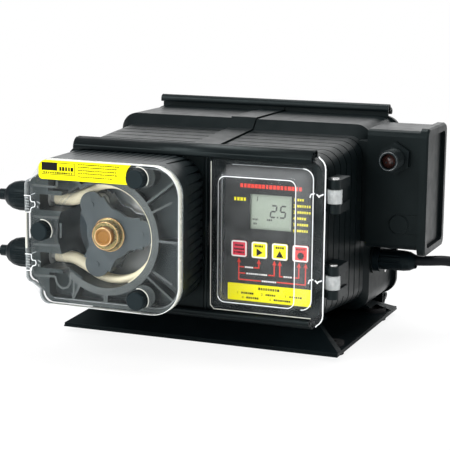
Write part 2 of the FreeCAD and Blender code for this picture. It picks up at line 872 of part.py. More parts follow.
def make_head_cover():
    # Clear cover: face plate, rim wall, ring over the track and ribs, all in one moulding
    face_y = cover_face_y
    back_y = cover_back_y
    keep = box(port_block_left - 1, head_front_left + 6, -200, 0, head_mid_z - head_front_half_h,
               head_mid_z + head_front_half_h)

    def form(inset, y0, y1):
        body = slab(head_outline(0.0, inset, y0), y0, y1)
        ear = slab(port_block_wire(inset, y0), y0, y1).common(keep)
        return body.fuse(ear).removeSplitter()
    outer = form(0.0, face_y, back_y)
    inner = form(cover_rim, face_y + cover_plate_t, back_y + 1)
    solids = []
    ring = rod_y(face_y + cover_plate_t - 0.5, back_y, head_x, head_z, track_r + 3.2)
    ring = ring.cut(rod_y(face_y, back_y + 1, head_x, head_z, track_r + 0.4))
    solids.append(ring)
    for degrees in (30, 0, -30, -62, -90, -118, 62, 90, 118):
        rib = box(track_r + 1, track_r + 80, face_y + cover_plate_t - 0.5, back_y - 1.0, -0.8, 0.8)
        rib.rotate(V(0, 0, 0), V(0, 1, 0), -degrees)
        rib.translate(V(head_x, 0, head_z))
        solids.append(rib.common(form(1.0, face_y, back_y)))
    for x, z in screw_spots():
        solids.append(rod_y(face_y + 0.5, back_y, x, z, knob_r + 1.0))
    body = outer.cut(inner)
    body = fuse([body] + solids)
    tools = []
    for x, z in screw_spots():
        tools.append(rod_y(face_y - 5, back_y + 1, x, z, screw_shank_r + 0.35))
        tools.append(rod_y(face_y - 5, face_y + 0.8, x, z, knob_r + 0.5))
    body = cut(body, tools)
    collars = []
    for x, z in screw_spots():
        collar = rod_y(face_y - 2.0, face_y + 0.4, x, z, knob_r + 1.8)
        collars.append(collar.cut(rod_y(face_y - 5, face_y + 1, x, z, knob_r + 0.5)))
    return fuse([body] + collars)


def make_thumb_screw(x, z):
    # Fluted knob with a shank that reaches into the housing
    back = cover_face_y + 0.5
    front = cover_face_y - knob_length
    knob = turned_y([(back, 0), (back, knob_r), (front + 1.0, knob_r), (front, knob_r - 1.0), (front, 0)], x, z)
    flutes = []
    for index in range(24):
        dx, dz = polar(knob_r + 0.25, index * 15.0)
        flutes.append(rod_y(front - 1, back + 1, x + dx, z + dz, 0.6))
    knob = knob.cut(Part.makeCompound(flutes))
    shank = rod_y(back - 1, head_face_y + 14, x, z, screw_shank_r)
    return fuse([knob, shank])


def turned_web(y0, y1, half, degrees):
    # Bar from the axis to a lobe's centre
    web = box(0, lobe_pin_r, y0, y1, -half, half)
    web.rotate(V(0, 0, 0), V(0, 1, 0), -degrees)
    return web


def lobed_plate(y0, y1):
    # Three-lobed plate: round ends joined by concave flanks
    body = [rod_y(y0, y1, 0, 0, lobe_waist_r)]
    flanks = []
    for index in range(3):
        degrees = lobe_turn + index * 120.0
        x, z = polar(lobe_pin_r, degrees)
        body.append(rod_y(y0, y1, x, z, lobe_end_r))
        body.append(turned_web(y0, y1, lobe_end_r, degrees))
        x, z = polar(lobe_flank_reach, degrees + 60.0)
        flanks.append(rod_y(y0 - 1, y1 + 1, x, z, lobe_flank_r))
    filler = rod_y(y0, y1, 0, 0, lobe_fill_r).cut(Part.makeCompound(flanks))
    for index in range(3):
        body.append(filler.common(turned_web(y0, y1, lobe_fill_half, lobe_turn + index * 120.0)))
    plate = fuse(body)
    plate.translate(V(head_x, 0, head_z))
    return plate


def roller_spots():
    spots = []
    for index in range(3):
        dx, dz = polar(lobe_pin_r, lobe_turn + index * 120.0)
        spots.append((head_x + dx, head_z + dz))
    return spots


def front_plate_range():
    rear = tube_axis_y - roller_length / 2 - plate_gap
    return rear - rotor_plate_t, rear


def back_plate_range():
    front = tube_axis_y + roller_length / 2 + plate_gap
    return front, front + rotor_plate_t


def make_rotor_plate(y0, y1):
    plate = lobed_plate(y0, y1)
    tools = [rod_y(y0 - 1, y1 + 1, x, z, pin_r) for x, z in roller_spots()]
    tools.append(rod_y(y0 - 1, y1 + 1, head_x, head_z, shaft_r))
    return cut(plate, tools)


def make_roller_pins():
    front = front_plate_range()[0]
    rear = back_plate_range()[1]
    pins = []
    for x, z in roller_spots():
        stem = rod_y(front - 0.6, rear + 0.6, x, z, pin_r)
        pins.append(stem)
    return Part.makeCompound(pins)


def make_roller(x, z):
    y0 = tube_axis_y - roller_length / 2
    y1 = tube_axis_y + roller_length / 2
    edge = 0.8
    profile = [
        (y0, pin_r + running_gap), (y0, roller_r - edge), (y0 + edge, roller_r),
        (y1 - edge, roller_r), (y1, roller_r - edge), (y1, pin_r + running_gap),
    ]
    return turned_y(profile, x, z)


def make_rotor_hub():
    # Stepped bronze boss clamped on the front plate, and the sleeve between the plates
    front = front_plate_range()[0]
    rear = front_plate_range()[1]
    profile = [
        (front, shaft_r), (front, hub_r), (front - 2.0, hub_r), (front - 2.6, hub_r - 1.2),
        (front - 7.0, hub_r - 1.2), (front - 8.0, hub_r - 2.2), (front - 8.0, button_r + 0.6),
        (front - 6.0, button_r + 0.6), (front - 6.0, shaft_r),
    ]
    boss = turned_y(profile, head_x, head_z)
    return boss


def make_hub_button():
    front = front_plate_range()[0]
    profile = [
        (front - 6.0, 0), (front - 6.0, button_r), (front - 10.6, button_r),
        (front - 11.6, button_r - 1.0), (front - 11.6, button_r - 2.2),
        (front - 11.0, button_r - 2.8), (front - 11.0, 0),
    ]
    return turned_y(profile, head_x, head_z)


def make_rotor_sleeve():
    y0 = front_plate_range()[1]
    y1 = back_plate_range()[0]
    sleeve = rod_y(y0, y1, head_x, head_z, 12.0)
    return sleeve.cut(rod_y(y0 - 1, y1 + 1, head_x, head_z, shaft_r))


def gearbox_front_y():
    return shell_front_y + 0.4


def make_drive_shaft():
    y0 = front_plate_range()[0] - 6.0
    y1 = gearbox_front_y() + gearbox_d - 8.0
    return rod_y(y0, y1, head_x, head_z, shaft_r)


def make_shaft_bush():
    y0 = cavity_floor_y - 1.2
    y1 = shell_front_y
    bush = rod_y(cavity_floor_y, y1, head_x, head_z, bush_r)
    flange = rod_y(y0, cavity_floor_y, head_x, head_z, bush_r + 2.0)
    return cut(fuse([bush, flange]), [rod_y(y0 - 1, y1 + 1, head_x, head_z, shaft_r + running_gap)])


def make_gearbox():
    # Gear case seated against the back of the drive plate, with a blind bore for the shaft
    y0 = gearbox_front_y()
    y1 = y0 + gearbox_d
    outline = rounded_wire(head_x - gearbox_w / 2, head_x + gearbox_w / 2, head_z - gearbox_h / 2,
                           head_z + gearbox_h / 2, [8.0] * 4, y0)
    case = slab(outline, y0, y1)
    lugs = []
    for dx in (-1, 1):
        for dz in (-1, 1):
            lugs.append(rod_y(y0, y1 - 10, head_x + dx * gearbox_w / 2, head_z + dz * (gearbox_h / 2 - 8), 5.0))
    body = fuse([case] + lugs)
    return cut(body, [rod_y(y0 - 1, y1 - 7.5, head_x, head_z, shaft_r + running_gap)])


def make_motor():
    y0 = gearbox_front_y() + gearbox_d
    z = head_z + 4.0
    can = rod_y(y0, y0 + motor_length, head_x, z, motor_r)
    end = rod_y(y0 + motor_length, y0 + motor_length + 4, head_x, z, motor_r - 8)
    laminations = rod_y(y0 + 12, y0 + 36, head_x, z, motor_r + 2.0)
    return fuse([can, end, laminations])


def tube_route():
    # Planar route of the tube in the head: angle of the slant, bend, and where each run ends
    slant = tube_slant
    bend_r = tube_bend_r
    mid_r = track_r - tube_press / 2
    join_x, join_z = polar(mid_r, 90.0 + slant)
    rise = bend_r * (1 - math.cos(math.radians(slant)))
    run = bend_r * math.sin(math.radians(slant))
    climb = join_z - port_spread - rise
    step_x = climb / math.tan(math.radians(slant))
    return slant, bend_r, mid_r, join_x, join_z, join_x - step_x, port_spread + rise, join_x - step_x - run


def tube_corner():
    # Where the leg's line meets the slant's, from the rotor's axis, and the slant's length to the track
    join_x, join_z = tube_route()[3:5]
    length = (join_z - port_spread) / math.sin(math.radians(tube_slant))
    return join_x - length * math.cos(math.radians(tube_slant)), length


def tube_round(x, z, degrees, radius):
    # Round section across a route that heads degrees from +X, in four arcs
    along_x, along_z = polar(1.0, degrees)
    points = []
    for step in range(8):
        across = radius * math.sin(math.radians(45.0 + step * 45.0))
        wide = radius * math.cos(math.radians(45.0 + step * 45.0))
        points.append(V(x - along_z * across, tube_axis_y + wide, z + along_x * across))
    edges = []
    for step in (0, 2, 4, 6):
        edges.append(Part.Arc(points[step], points[step + 1], points[(step + 2) % 8]).toShape())
    return Part.Wire(edges)


def tube_oval(x, z, degrees, half_in, half_wide):
    # Pressed section: two flats and two round ends, in the same order as the round one
    along_x, along_z = polar(1.0, degrees)
    flat = half_wide - half_in

    def corner(across, wide):
        return V(x - along_z * across, tube_axis_y + wide, z + along_x * across)
    edges = [
        Part.LineSegment(corner(half_in, flat), corner(half_in, -flat)).toShape(),
        Part.Arc(corner(half_in, -flat), corner(0, -half_wide), corner(-half_in, -flat)).toShape(),
        Part.LineSegment(corner(-half_in, -flat), corner(-half_in, flat)).toShape(),
        Part.Arc(corner(-half_in, flat), corner(0, half_wide), corner(half_in, flat)).toShape(),
    ]
    return Part.Wire(edges)


def tube_half(outer):
    # Upper half of the tube: leg, bend, slant and half of the arc round the track
    slant, bend_r, mid_r, join_x, join_z, bend_end_x, bend_end_z, bend_start_x = tube_route()
    shrink = 0.0 if outer else tube_wall
    round_r = tube_r - shrink
    flat_in = tube_press / 2 - shrink
    flat_wide = tube_width / 2 - shrink
    start_x = port_bulkhead_x() + 4.0 - head_x
    leg = Part.Face(tube_round(start_x, port_spread, 0, round_r))
    bend = Part.Face(tube_round(bend_start_x, port_spread, 0, round_r))
    arc = Part.Face(tube_oval(join_x, join_z, slant, flat_in, flat_wide))
    return [
        leg.extrude(V(bend_start_x - start_x, 0, 0)),
        bend.revolve(V(bend_start_x, tube_axis_y, port_spread + bend_r), V(0, 1, 0), -slant),
        loft([
            tube_round(bend_end_x, bend_end_z, slant, round_r),
            tube_oval(join_x, join_z, slant, flat_in, flat_wide),
        ]),
        arc.revolve(V(0, tube_axis_y, 0), V(0, 1, 0), 90.0 + slant),
    ]


def make_pump_tube():
    halves = []
    for outer in (True, False):
        pieces = tube_half(outer)
        pieces += [piece.mirror(V(0, 0, 0), V(0, 0, 1)) for piece in pieces]
        halves.append(pieces[0].multiFuse(pieces[1:]))
    tube = halves[0].cut(halves[1])
    tube.translate(V(head_x, 0, head_z))
    return tube


def spigot_end_x():
    return port_block_left - collar_t - 16.0


def make_fittings():
    # Threaded spigots with a collar outside, a flange inside and a barb for the tube
    fittings = []
    for side in (-1, 1):
        z = head_z + side * port_spread
        end = spigot_end_x()
        barb = port_bulkhead_x() + 12.0
        profile = [
            (end, port_bore_r), (end, spigot_r), (port_block_left - collar_t, spigot_r),
            (port_block_left - collar_t, spigot_r + 3.4), (port_block_left, spigot_r + 3.4),
            (port_block_left, spigot_r - 1.0), (port_bulkhead_x(), spigot_r - 1.0),
            (port_bulkhead_x(), tube_r - tube_wall), (barb, tube_r - tube_wall), (barb, 1.8),
            (port_block_left, 1.8), (port_block_left, port_bore_r),
        ]
        fittings.append(turned_x(profile, tube_axis_y, z))
    return Part.makeCompound(fittings)


def nut_end_x():
    return port_block_left - collar_t - 0.3 - nut_length


def make_ferrules():
    ferrules = []
    for side in (-1, 1):
        z = head_z + side * port_spread
        seat = spigot_end_x()
        tail = nut_end_x() - ferrule_tail
        profile = [
            (seat, port_bore_r), (seat, spigot_r - 1.4), (seat - 2.0, spigot_r - 1.4),
            (seat - 5.0, port_bore_r + 1.3), (tail, port_bore_r + 1.0), (tail, port_bore_r),
        ]
        ferrules.append(turned_x(profile, tube_axis_y, z))
    return Part.makeCompound(ferrules)


def make_nut(side):
    # Domed compression nut with a fluted grip
    z = head_z + side * port_spread
    root = port_block_left - collar_t - 0.3
    end = nut_end_x()
    inner_end = spigot_end_x() - 3.0
    profile = [
        (root, spigot_r + nut_gap), (root, nut_r), (end + 12, nut_r), (end + 7, nut_r - 0.9),
        (end + 3, nut_r - 3.0), (end + 0.8, nut_r - 5.2), (end, nut_r - 6.2),
        (end, port_bore_r + 1.7), (end + 5, port_bore_r + 1.7), (inner_end - 3, spigot_r + nut_gap - 1.0),
        (inner_end, spigot_r + nut_gap),
    ]
    nut = turned_x(profile, tube_axis_y, z)
    flutes = []
    count = 20
    for index in range(count):
        dy, dz = polar(nut_r + 0.3, index * 360.0 / count)
        flutes.append(rod_x(end + 6, root + 1, tube_axis_y + dy, z + dz, 0.9))
    return nut.cut(Part.makeCompound(flutes))


def make_head_label():
    # Thin plate on the clear cover, cut away round the upper thumb screw
    y1 = cover_face_y
    y0 = y1 - 0.4
    plate = slab(rounded_wire(-95.0, screw_right_x - 4.0, 131.0, 150.5, [3.0] * 4, y0), y0, y1)
    x, z = screw_spots()[0]
    return plate.cut(rod_y(y0 - 1, y1 + 1, x, z, knob_r + 3.6))


def make_label_strip():
    y1 = case_front_y
    y0 = y1 - 0.25
    return box(strip_x[0], strip_x[1], y0, y1, strip_z[0], strip_z[1])


def make_base():
    # Bottom plate, two leaning walls and two flanges under the case, as one folded sheet
    walls = []
    for side, top_z in ((-1, front_flange_z()), (1, rear_flange_z())):
        low_y = side * base_half_d
        high_y = side * (base_half_d - wall_lean)
        inner_y = side * (base_half_d - wall_lean - flange_depth)
        rise = top_z - base_sheet - sheet_top_z
        lean = math.atan2(wall_lean, rise)
        slip = base_sheet / math.cos(lean)
        profile = [
            V(0, low_y, base_z), V(0, low_y, sheet_top_z - 0.5), V(0, high_y, top_z), V(0, inner_y, top_z),
            V(0, inner_y, top_z - base_sheet), V(0, high_y - side * base_sheet * 0.4, top_z - base_sheet),
            V(0, low_y - side * slip, base_z),
        ]
        prism = polygon_prism(profile, V(2 * base_half_w, 0, 0))
        prism.translate(V(-base_half_w, 0, 0))
        walls.append(prism)
    plate = box(-base_half_w, base_half_w, -base_half_d, base_half_d, base_z, sheet_top_z)
    creases = []
    for side in (-1, 1):
        y = side * (base_half_d + 1.2)
        creases.append(box(-base_half_w, base_half_w, min(y, y - side * 4), max(y, y - side * 4), base_z, base_z + 1.2))
    top = max(front_flange_z(), rear_flange_z())
    cutters = []
    for side in (-1, 1):
        edge = side * base_half_w
        cutters.append(polygon_prism([
            V(edge, -200, sheet_top_z), V(edge + side * 1, -200, sheet_top_z),
            V(edge + side * 1, -200, top + 5),
            V(edge - side * wall_flare * (top + 5 - sheet_top_z) / (top - sheet_top_z), -200, top + 5),
        ], V(0, 400, 0)))
    body = fuse([plate] + walls + creases)
    for sx in (-1, 1):
        for sy in (-1, 1):
            x = sx * bolt_spacing_x / 2
            y = sy * bolt_spacing_y / 2
            cutters.append(rod_z(0, sheet_top_z + 1, x, y, foot_neck_r))
            cutters.append(rod_z(sheet_top_z, sheet_top_z + foot_bead_t + 0.5, x, y, foot_r + 0.5))
    for x, y, z in base_screw_spots():
        cutters.append(rod_z(z - base_sheet - 1, z + 1, x, y, 2.2))
    return cut(body, cutters)


def make_feet():
    feet = []
    for sx in (-1, 1):
        for sy in (-1, 1):
            x = sx * bolt_spacing_x / 2
            y = sy * bolt_spacing_y / 2
            parts = [
                rod_z(0, foot_height, x, y, foot_r),
                rod_z(foot_height - 1, sheet_top_z + 1, x, y, foot_neck_r),
                rod_z(sheet_top_z, sheet_top_z + foot_bead_t, x, y, foot_r),
            ]
            foot = fuse(parts)
            feet.append(cut(foot, [rod_z(-1, 20, x, y, bolt_hole_r)]))
    return Part.makeCompound(feet)


def make_base_screws():
    screws = []
    for x, y, z in base_screw_spots():
        head = rod_z(z - base_sheet - 2.0, z - base_sheet, x, y, 4.0)
        stem = rod_z(z - base_sheet - 1, z + 5, x, y, 1.7)
        screws.append(fuse([head, stem]))
    return Part.makeCompound(screws)


def box_outline_x(y0, y1, z0, z1, r, x):
    # Rounded rectangle in a YZ plane
    flat = rounded_wire(y0, y1, z0, z1, [r] * 4, 0)
    flat.rotate(V(0, 0, 0), V(0, 0, 1), 90)
    flat.translate(V(x, 0, 0))
    return flat


def box_slab(y0, y1, z0, z1, r, x0, x1):
    return Part.Face(box_outline_x(y0, y1, z0, z1, r, x0)).extrude(V(x1 - x0, 0, 0))


def make_junction_body():
    # Open box on the case side; its rim takes the cap's tongue
    x0 = box_face_x
    x1 = box_face_x + box_length
    r = 5.0
    outer = box_slab(box_front_y, box_rear_y, box_low_z, box_high_z, r, x0, x1)
    w = box_wall
    inner = box_slab(box_front_y + w, box_rear_y - w, box_low_z + w, box_high_z - w, r - w, x0 + w, x1 + 1)
    body = outer.cut(inner)
    mid_z = (box_low_z + box_high_z) / 2
    posts = []
    for y in (box_front_y + 6, box_rear_y - 6):
        posts.append(rod_x(x0 + 1, x1 - 4, y, box_low_z + 6, 3.5))
        posts.append(rod_x(x0 + 1, x1 - 4, y, box_high_z - 6, 3.5))
    posts = [post.common(outer) for post in posts]
    lines = []
    for dz in (-7.6, 7.6):
        lines.append(box(plug_x + 5, x1 - 2, box_front_y - 0.5, box_front_y + 0.5, plug_z + dz - 0.4, plug_z + dz + 0.4))
    body = fuse([body] + posts + lines)
    tools = [
        rod_y(box_front_y - 2, box_front_y + w + 1, conn_x, conn_z, conn_shank_r),
        rod_y(box_front_y - 2, box_front_y + w + 1, plug_x, plug_z, 6.6),
        rod_x(x0 - 1, x0 + w + 1, (box_front_y + box_rear_y) / 2, mid_z, 9.0),
    ]
    return cut(body, tools)


def make_junction_cap():
    x0 = box_face_x + box_length
    x1 = x0 + cap_t
    grow = 2.2
    y0 = box_front_y - grow
    y1 = box_rear_y + grow * 0.5
    z0 = box_low_z - grow * 2
    z1 = box_high_z + grow
    plate = box_slab(y0, y1, z0, z1, 7.0, x0, x1 - 1.5)
    bevel = Part.makeLoft([
        box_outline_x(y0, y1, z0, z1, 7.0, x1 - 1.5),
        box_outline_x(y0 + 1.2, y1 - 1.2, z0 + 1.2, z1 - 1.2, 6.0, x1),
    ], True, True)
    m = cap_lip + 3.0
    recess = box_slab(y0 + m, y1 - m, z0 + m, z1 - m, 4.0, x1 - 3.0, x1 + 1)
    clear = box_wall + 0.3
    tongue = box_slab(box_front_y + clear, box_rear_y - clear, box_low_z + clear, box_high_z - clear,
                      2.0, x0 - 3.0, x0 + 1)
    core = box_slab(box_front_y + clear + 1.6, box_rear_y - clear - 1.6, box_low_z + clear + 1.6,
                    box_high_z - clear - 1.6, 1.2, x0 - 4.0, x0 + 0.01)
    body = fuse([plate, bevel, tongue])
    return cut(body, [recess, core])


def hex_front_y():
    return box_front_y - flange_t - hex_t


def make_connector():
    # Round socket on a shank through the box's front wall; its thread starts before the hexagon
    front = box_front_y - conn_length
    back = box_front_y + box_wall
    thread_y = hex_front_y() - thread_gap
    bore_r = conn_r - 2.2
    bore_end = front + 9.0
    profile = [
        (back, 0), (back, conn_shank_r), (box_front_y, conn_shank_r), (box_front_y, conn_r + flange_t),
        (box_front_y - flange_t, conn_r + flange_t), (box_front_y - flange_t, conn_shank_r),
        (thread_y, conn_shank_r), (thread_y, conn_r), (front + 0.6, conn_r), (front, conn_r - 0.6),
        (front, bore_r), (bore_end, bore_r), (bore_end, 0),
    ]
    body = turned_y(profile, conn_x, conn_z)
    pins = []
    for degrees in (90, 210, 330):
        dx, dz = polar(conn_pin_ring_r, degrees)
        pins.append(rod_y(front + 3.0, bore_end + 0.5, conn_x + dx, conn_z + dz, conn_pin_r))
    return fuse([body] + pins)


def hexagon(x, z, across, y0, y1):
    points = []
    for index in range(6):
        dx, dz = polar(across / math.sqrt(3.0), 30.0 + index * 60.0)
        points.append(V(x + dx, y0, z + dz))
    return polygon_prism(points, V(0, y1 - y0, 0))


def make_connector_nut():
    y1 = box_front_y - flange_t
    y0 = hex_front_y()
    nut = hexagon(conn_x, conn_z, hex_across, y0, y1)
    return nut.cut(rod_y(y0 - 1, y1 + 1, conn_x, conn_z, conn_shank_r))


def make_blank_plug():
    y = box_front_y
    profile = [
        (y + box_wall + 1.5, 0), (y + box_wall + 1.5, 6.2), (y + box_wall, 6.6), (y, 6.6), (y, 7.8),
        (y - 0.8, 7.8), (y - 1.4, 7.0), (y - 1.4, 0),
    ]
    return turned_y(profile, plug_x, plug_z)


def make_gland_body():
    x0 = box_face_x
    inner = cord_gland_bore
    profile = [
        (x0 - 14, inner), (x0 - 14, 7.5), (x0, 7.5), (x0, gland_r + 2.0), (x0 + 5, gland_r + 2.0),
        (x0 + 5, 7.0), (x0 + 18, 7.0), (x0 + 18, inner),
    ]
    return turned_x(profile, gland_y, gland_z)


def make_gland_nut():
    # Domed clamping nut; the cord leaves through its end
    x0 = box_face_x + 5.3
    end = gland_end_x
    profile = [
        (x0, 7.1), (x0, gland_r), (end - 10, gland_r), (end - 5, gland_r - 0.7), (end - 1.5, gland_r - 2.4),
        (end, nut_mouth_r + 0.4), (end - 0.4, nut_mouth_r), (end - 8, nut_mouth_r),
        (end - 12, 7.1),
    ]
    nut = turned_x(profile, gland_y, gland_z)
    flutes = []
    for index in range(12):
        dy, dz = polar(gland_r + 0.5, index * 30.0)
        flutes.append(rod_x(x0 - 1, end - 12, gland_y + dy, gland_z + dz, 1.1))
    return nut.cut(Part.makeCompound(flutes))


def coil_ring():
    # Outer shape of the neat coil that holds the length out of view
    x, y = coil_centre
    inner = coil_mid_r - coil_columns * cord_r
    outer = coil_mid_r + coil_columns * cord_r
    height = coil_layers * 2 * cord_r
    ring = rod_z(0, height, x, y, outer).cut(rod_z(-1, height + 1, x, y, inner))
    return ring


# Route of the cord from inside the gland to the coil, chosen by hand to follow the view
cord_route = [
    (128.0, 27.0, 59.0), (150.5, 28.0, 59.6), (171.5, 39.3, 60.2), (191.0, 49.0, 51.0), (207.0, 57.0, 38.0),
    (221.0, 65.5, 24.0), (238.0, 71.5, 12.5), (258.0, 74.4, 6.0), (278.0, 75.0, 4.2),
]


def route_tube(route, radius):
    # Straight runs joined by tangent arcs, each arc as large as its two runs allow
    points = [V(*point) for point in route]
    edges = []
    start = points[0]
    for before, corner, after in zip(points, points[1:], points[2:]):
        into = (corner - before).normalize()
        away = (after - corner).normalize()
        turn = math.acos(max(-1.0, min(1.0, into.dot(away))))
        reach = 0.45 * min((corner - before).Length, (after - corner).Length)
        bend_r = reach / math.tan(turn / 2)
        print("bend radius", round(bend_r, 1), "turn", round(math.degrees(turn), 1))
        first = corner - into * reach
        last = corner + away * reach
        centre_way = (away - into).normalize()
        middle = corner + centre_way * (bend_r / math.cos(turn / 2) - bend_r)
        edges.append(Part.LineSegment(start, first).toShape())
        edges.append(Part.Arc(first, middle, last).toShape())
        start = last
    edges.append(Part.LineSegment(start, points[-1]).toShape())
    path = Part.Wire(edges)
    direction = (points[1] - points[0]).normalize()
    profile = Part.Wire([Part.Circle(points[0], direction, radius).toShape()])
    tube = path.makePipeShell([profile], True, True)
    ideal = math.pi * radius * radius * path.Length
    print("cord length", round(path.Length, 1), "volume share", round(tube.Volume / ideal, 4))
    return tube


tail_route = [
    (278.0, 181.6, 4.2), (259.0, 181.2, 4.4), (240.0, 178.6, 6.8), (221.0, 176.8, 10.0), (204.0, 176.8, 10.0),
]


def make_plug():
    # Moulded plug lying on the floor beside the coil
    x1, y, z = tail_route[-1]
    relief = turned_x([(x1 + 0.0, 0), (x1 + 0.0, 5.2), (x1 - 14, 7.5), (x1 - 14, 0)], y, z)
    body = box(x1 - 42, x1 - 13, y - 13, y + 13, z - 10, z + 9.5)
    edges = [edge for edge in body.Edges if abs(edge.tangentAt(edge.FirstParameter).x) > 0.9]
    body = body.makeFillet(4.0, edges)
    return fuse([body, relief])


def make_plug_pins():
    x1, y, z = tail_route[-1]
    face = x1 - 42
    pins = [
        box(face - 17, face, y - 7.1, y - 5.6, z - 1, z + 5.5),
        box(face - 17, face, y + 5.6, y + 7.1, z - 1, z + 5.5),
        rod_x(face - 20, face, y, z - 5.5, 2.4),
    ]
    return pins


def build():
    nodes = {}
    nodes["case_left"], nodes["case_right"] = make_case()
    nodes["rear_panel"] = make_rear_panel()
    nodes["drive_front_plate"] = make_drive_plate()
    nodes["control_panel"] = make_control_panel()
    nodes["centre_strip"] = make_centre_strip()
    for front in (True, False):
        for top in (True, False):
            name = "rail_" + ("front" if front else "rear") + ("_top" if top else "_bottom")
            nodes[name] = rail(front, top)
    nodes["panel_overlay"] = make_overlay()
    nodes["display_window"] = make_window()
    nodes["display_module"] = make_display_module()
    for index, name in enumerate(["key_mode", "key_right", "key_up", "key_stop"]):
        nodes[name] = make_key(index)
    nodes["label_strip"] = make_label_strip()
    nodes["control_board"] = make_control_board()
    nodes["power_transformer"] = make_transformer()
    nodes["control_cover"] = make_control_cover()
    nodes["hinge_brackets"] = make_hinge_brackets()
    nodes["cover_hinge_pins"] = make_hinge_pins()
    nodes["head_housing"] = make_head_housing()
    nodes["head_cover"] = make_head_cover()
    nodes["head_label"] = make_head_label()
    for name, (x, z) in zip(["top", "side", "bottom"], screw_spots()):
        nodes["thumb_screw_" + name] = make_thumb_screw(x, z)
    nodes["rotor_front_plate"] = make_rotor_plate(*front_plate_range())
    nodes["rotor_back_plate"] = make_rotor_plate(*back_plate_range())
    nodes["rotor_hub"] = Part.makeCompound([make_rotor_hub(), make_rotor_sleeve()])
    nodes["hub_button"] = make_hub_button()
    nodes["roller_pins"] = make_roller_pins()
    for index, (x, z) in enumerate(roller_spots()):
        nodes["roller_" + str(index + 1)] = make_roller(x, z)
    nodes["drive_shaft"] = make_drive_shaft()
    nodes["shaft_bush"] = make_shaft_bush()
    nodes["gearbox_case"] = make_gearbox()
    nodes["motor"] = make_motor()
    nodes["pump_tube"] = make_pump_tube()
    nodes["tube_fittings"] = make_fittings()
    nodes["ferrules"] = make_ferrules()
    nodes["suction_nut"] = make_nut(-1)
    nodes["discharge_nut"] = make_nut(1)
    nodes["base_bracket"] = make_base()
    nodes["rubber_feet"] = make_feet()
    nodes["base_screws"] = make_base_screws()
    nodes["junction_body"] = make_junction_body()
    nodes["junction_cap"] = make_junction_cap()
    nodes["signal_connector"] = make_connector()
    nodes["connector_nut"] = make_connector_nut()
    nodes["blank_plug"] = make_blank_plug()
    nodes["gland_body"] = make_gland_body()
    nodes["gland_nut"] = make_gland_nut()
    nodes["power_cord"] = route_tube(cord_route, cord_r)
    nodes["cord_coil"] = coil_ring()
    nodes["cord_tail"] = route_tube(tail_route, cord_r)
    nodes["power_plug"] = Part.makeCompound([make_plug()] + make_plug_pins())
    return nodes


os.makedirs("parts", exist_ok=True)
for name, shape in build().items():
    shape.exportStep("parts/" + name + ".step")
    bounds = shape.BoundBox
    print(name, "solids", len(shape.Solids), "valid", shape.isValid(),
          [round(v, 1) for v in (bounds.XMin, bounds.XMax, bounds.YMin, bounds.YMax, bounds.ZMin, bounds.ZMax)])
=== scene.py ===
import math

import bmesh
import bpy
from mathutils import Matrix, Vector


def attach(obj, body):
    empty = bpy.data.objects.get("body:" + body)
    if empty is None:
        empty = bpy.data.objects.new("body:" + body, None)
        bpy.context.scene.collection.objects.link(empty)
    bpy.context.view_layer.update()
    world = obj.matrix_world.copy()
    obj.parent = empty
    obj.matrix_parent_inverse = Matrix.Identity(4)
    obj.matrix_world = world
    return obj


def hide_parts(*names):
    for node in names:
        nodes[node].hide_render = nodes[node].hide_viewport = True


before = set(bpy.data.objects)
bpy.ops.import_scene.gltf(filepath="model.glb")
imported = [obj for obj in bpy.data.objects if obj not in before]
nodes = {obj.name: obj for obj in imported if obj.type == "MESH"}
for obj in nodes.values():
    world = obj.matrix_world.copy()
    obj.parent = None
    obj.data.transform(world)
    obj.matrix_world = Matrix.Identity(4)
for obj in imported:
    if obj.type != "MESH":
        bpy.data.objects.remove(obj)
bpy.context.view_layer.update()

mm = 0.001
headCentre = (-46.0, 95.2)


def addObject(name, data):
    added = bpy.data.objects.new(name, data)
    bpy.context.scene.collection.objects.link(added)
    return added


# Camera: its place and direction follow the photograph's perspective
cameraSettings = {
    "place": (0.43009, -1.08220, 0.29959),
    "back": (0.37238, -0.90839, 0.19012),
    "right": (0.92473, 0.38062, 0.00736),
    "lens": 115.1,
    "sensor": 36.0,
    "shift": (0.010, 0.0216),
    "clip": (0.01, 50.0),
}


def makeCamera(settings):
    back = Vector(settings["back"]).normalized()
    right = Vector(settings["right"]).normalized()
    up = back.cross(right).normalized()
    right = up.cross(back).normalized()
    data = bpy.data.cameras.new("photoCamera")
    data.lens = settings["lens"]
    data.sensor_width = settings["sensor"]
    data.shift_x, data.shift_y = settings["shift"]
    data.clip_start, data.clip_end = settings["clip"]
    camera = addObject("photoCamera", data)
    turn = Matrix((right, up, back)).transposed().to_4x4()
    camera.matrix_world = Matrix.Translation(settings["place"]) @ turn
    bpy.context.scene.camera = camera


makeCamera(cameraSettings)
print("camera placed")


# Fills a node's inputs: a socket or a node's first output is linked, any other value is set as a constant
def fill(tree, node, values):
    for label, value in values.items():
        socket = node.inputs[label]
        if isinstance(value, bpy.types.Node):
            value = value.outputs[0]
        if isinstance(value, bpy.types.NodeSocket):
            tree.links.new(value, socket)
        else:
            socket.default_value = (*value, 1.0) if socket.type == "RGBA" else value
    return node


def addNode(tree, kind, values, **choices):
    node = tree.nodes.new(kind)
    for key, choice in choices.items():
        setattr(node, key, choice)
    return fill(tree, node, values)


# Shader helpers
finishes = {}


def newMaterial(name):
    material = bpy.data.materials.new(name)
    material.use_nodes = True
    finishes[name] = material
    return material.node_tree, material.node_tree.nodes["Principled BSDF"]


def objectPoint(tree):
    return addNode(tree, "ShaderNodeTexCoord", {}).outputs["Object"]


def normalParts(tree):
    normal = addNode(tree, "ShaderNodeNewGeometry", {}).outputs["Normal"]
    return addNode(tree, "ShaderNodeSeparateXYZ", {"Vector": normal}).outputs


def pointParts(tree):
    return addNode(tree, "ShaderNodeSeparateXYZ", {"Vector": objectPoint(tree)}).outputs


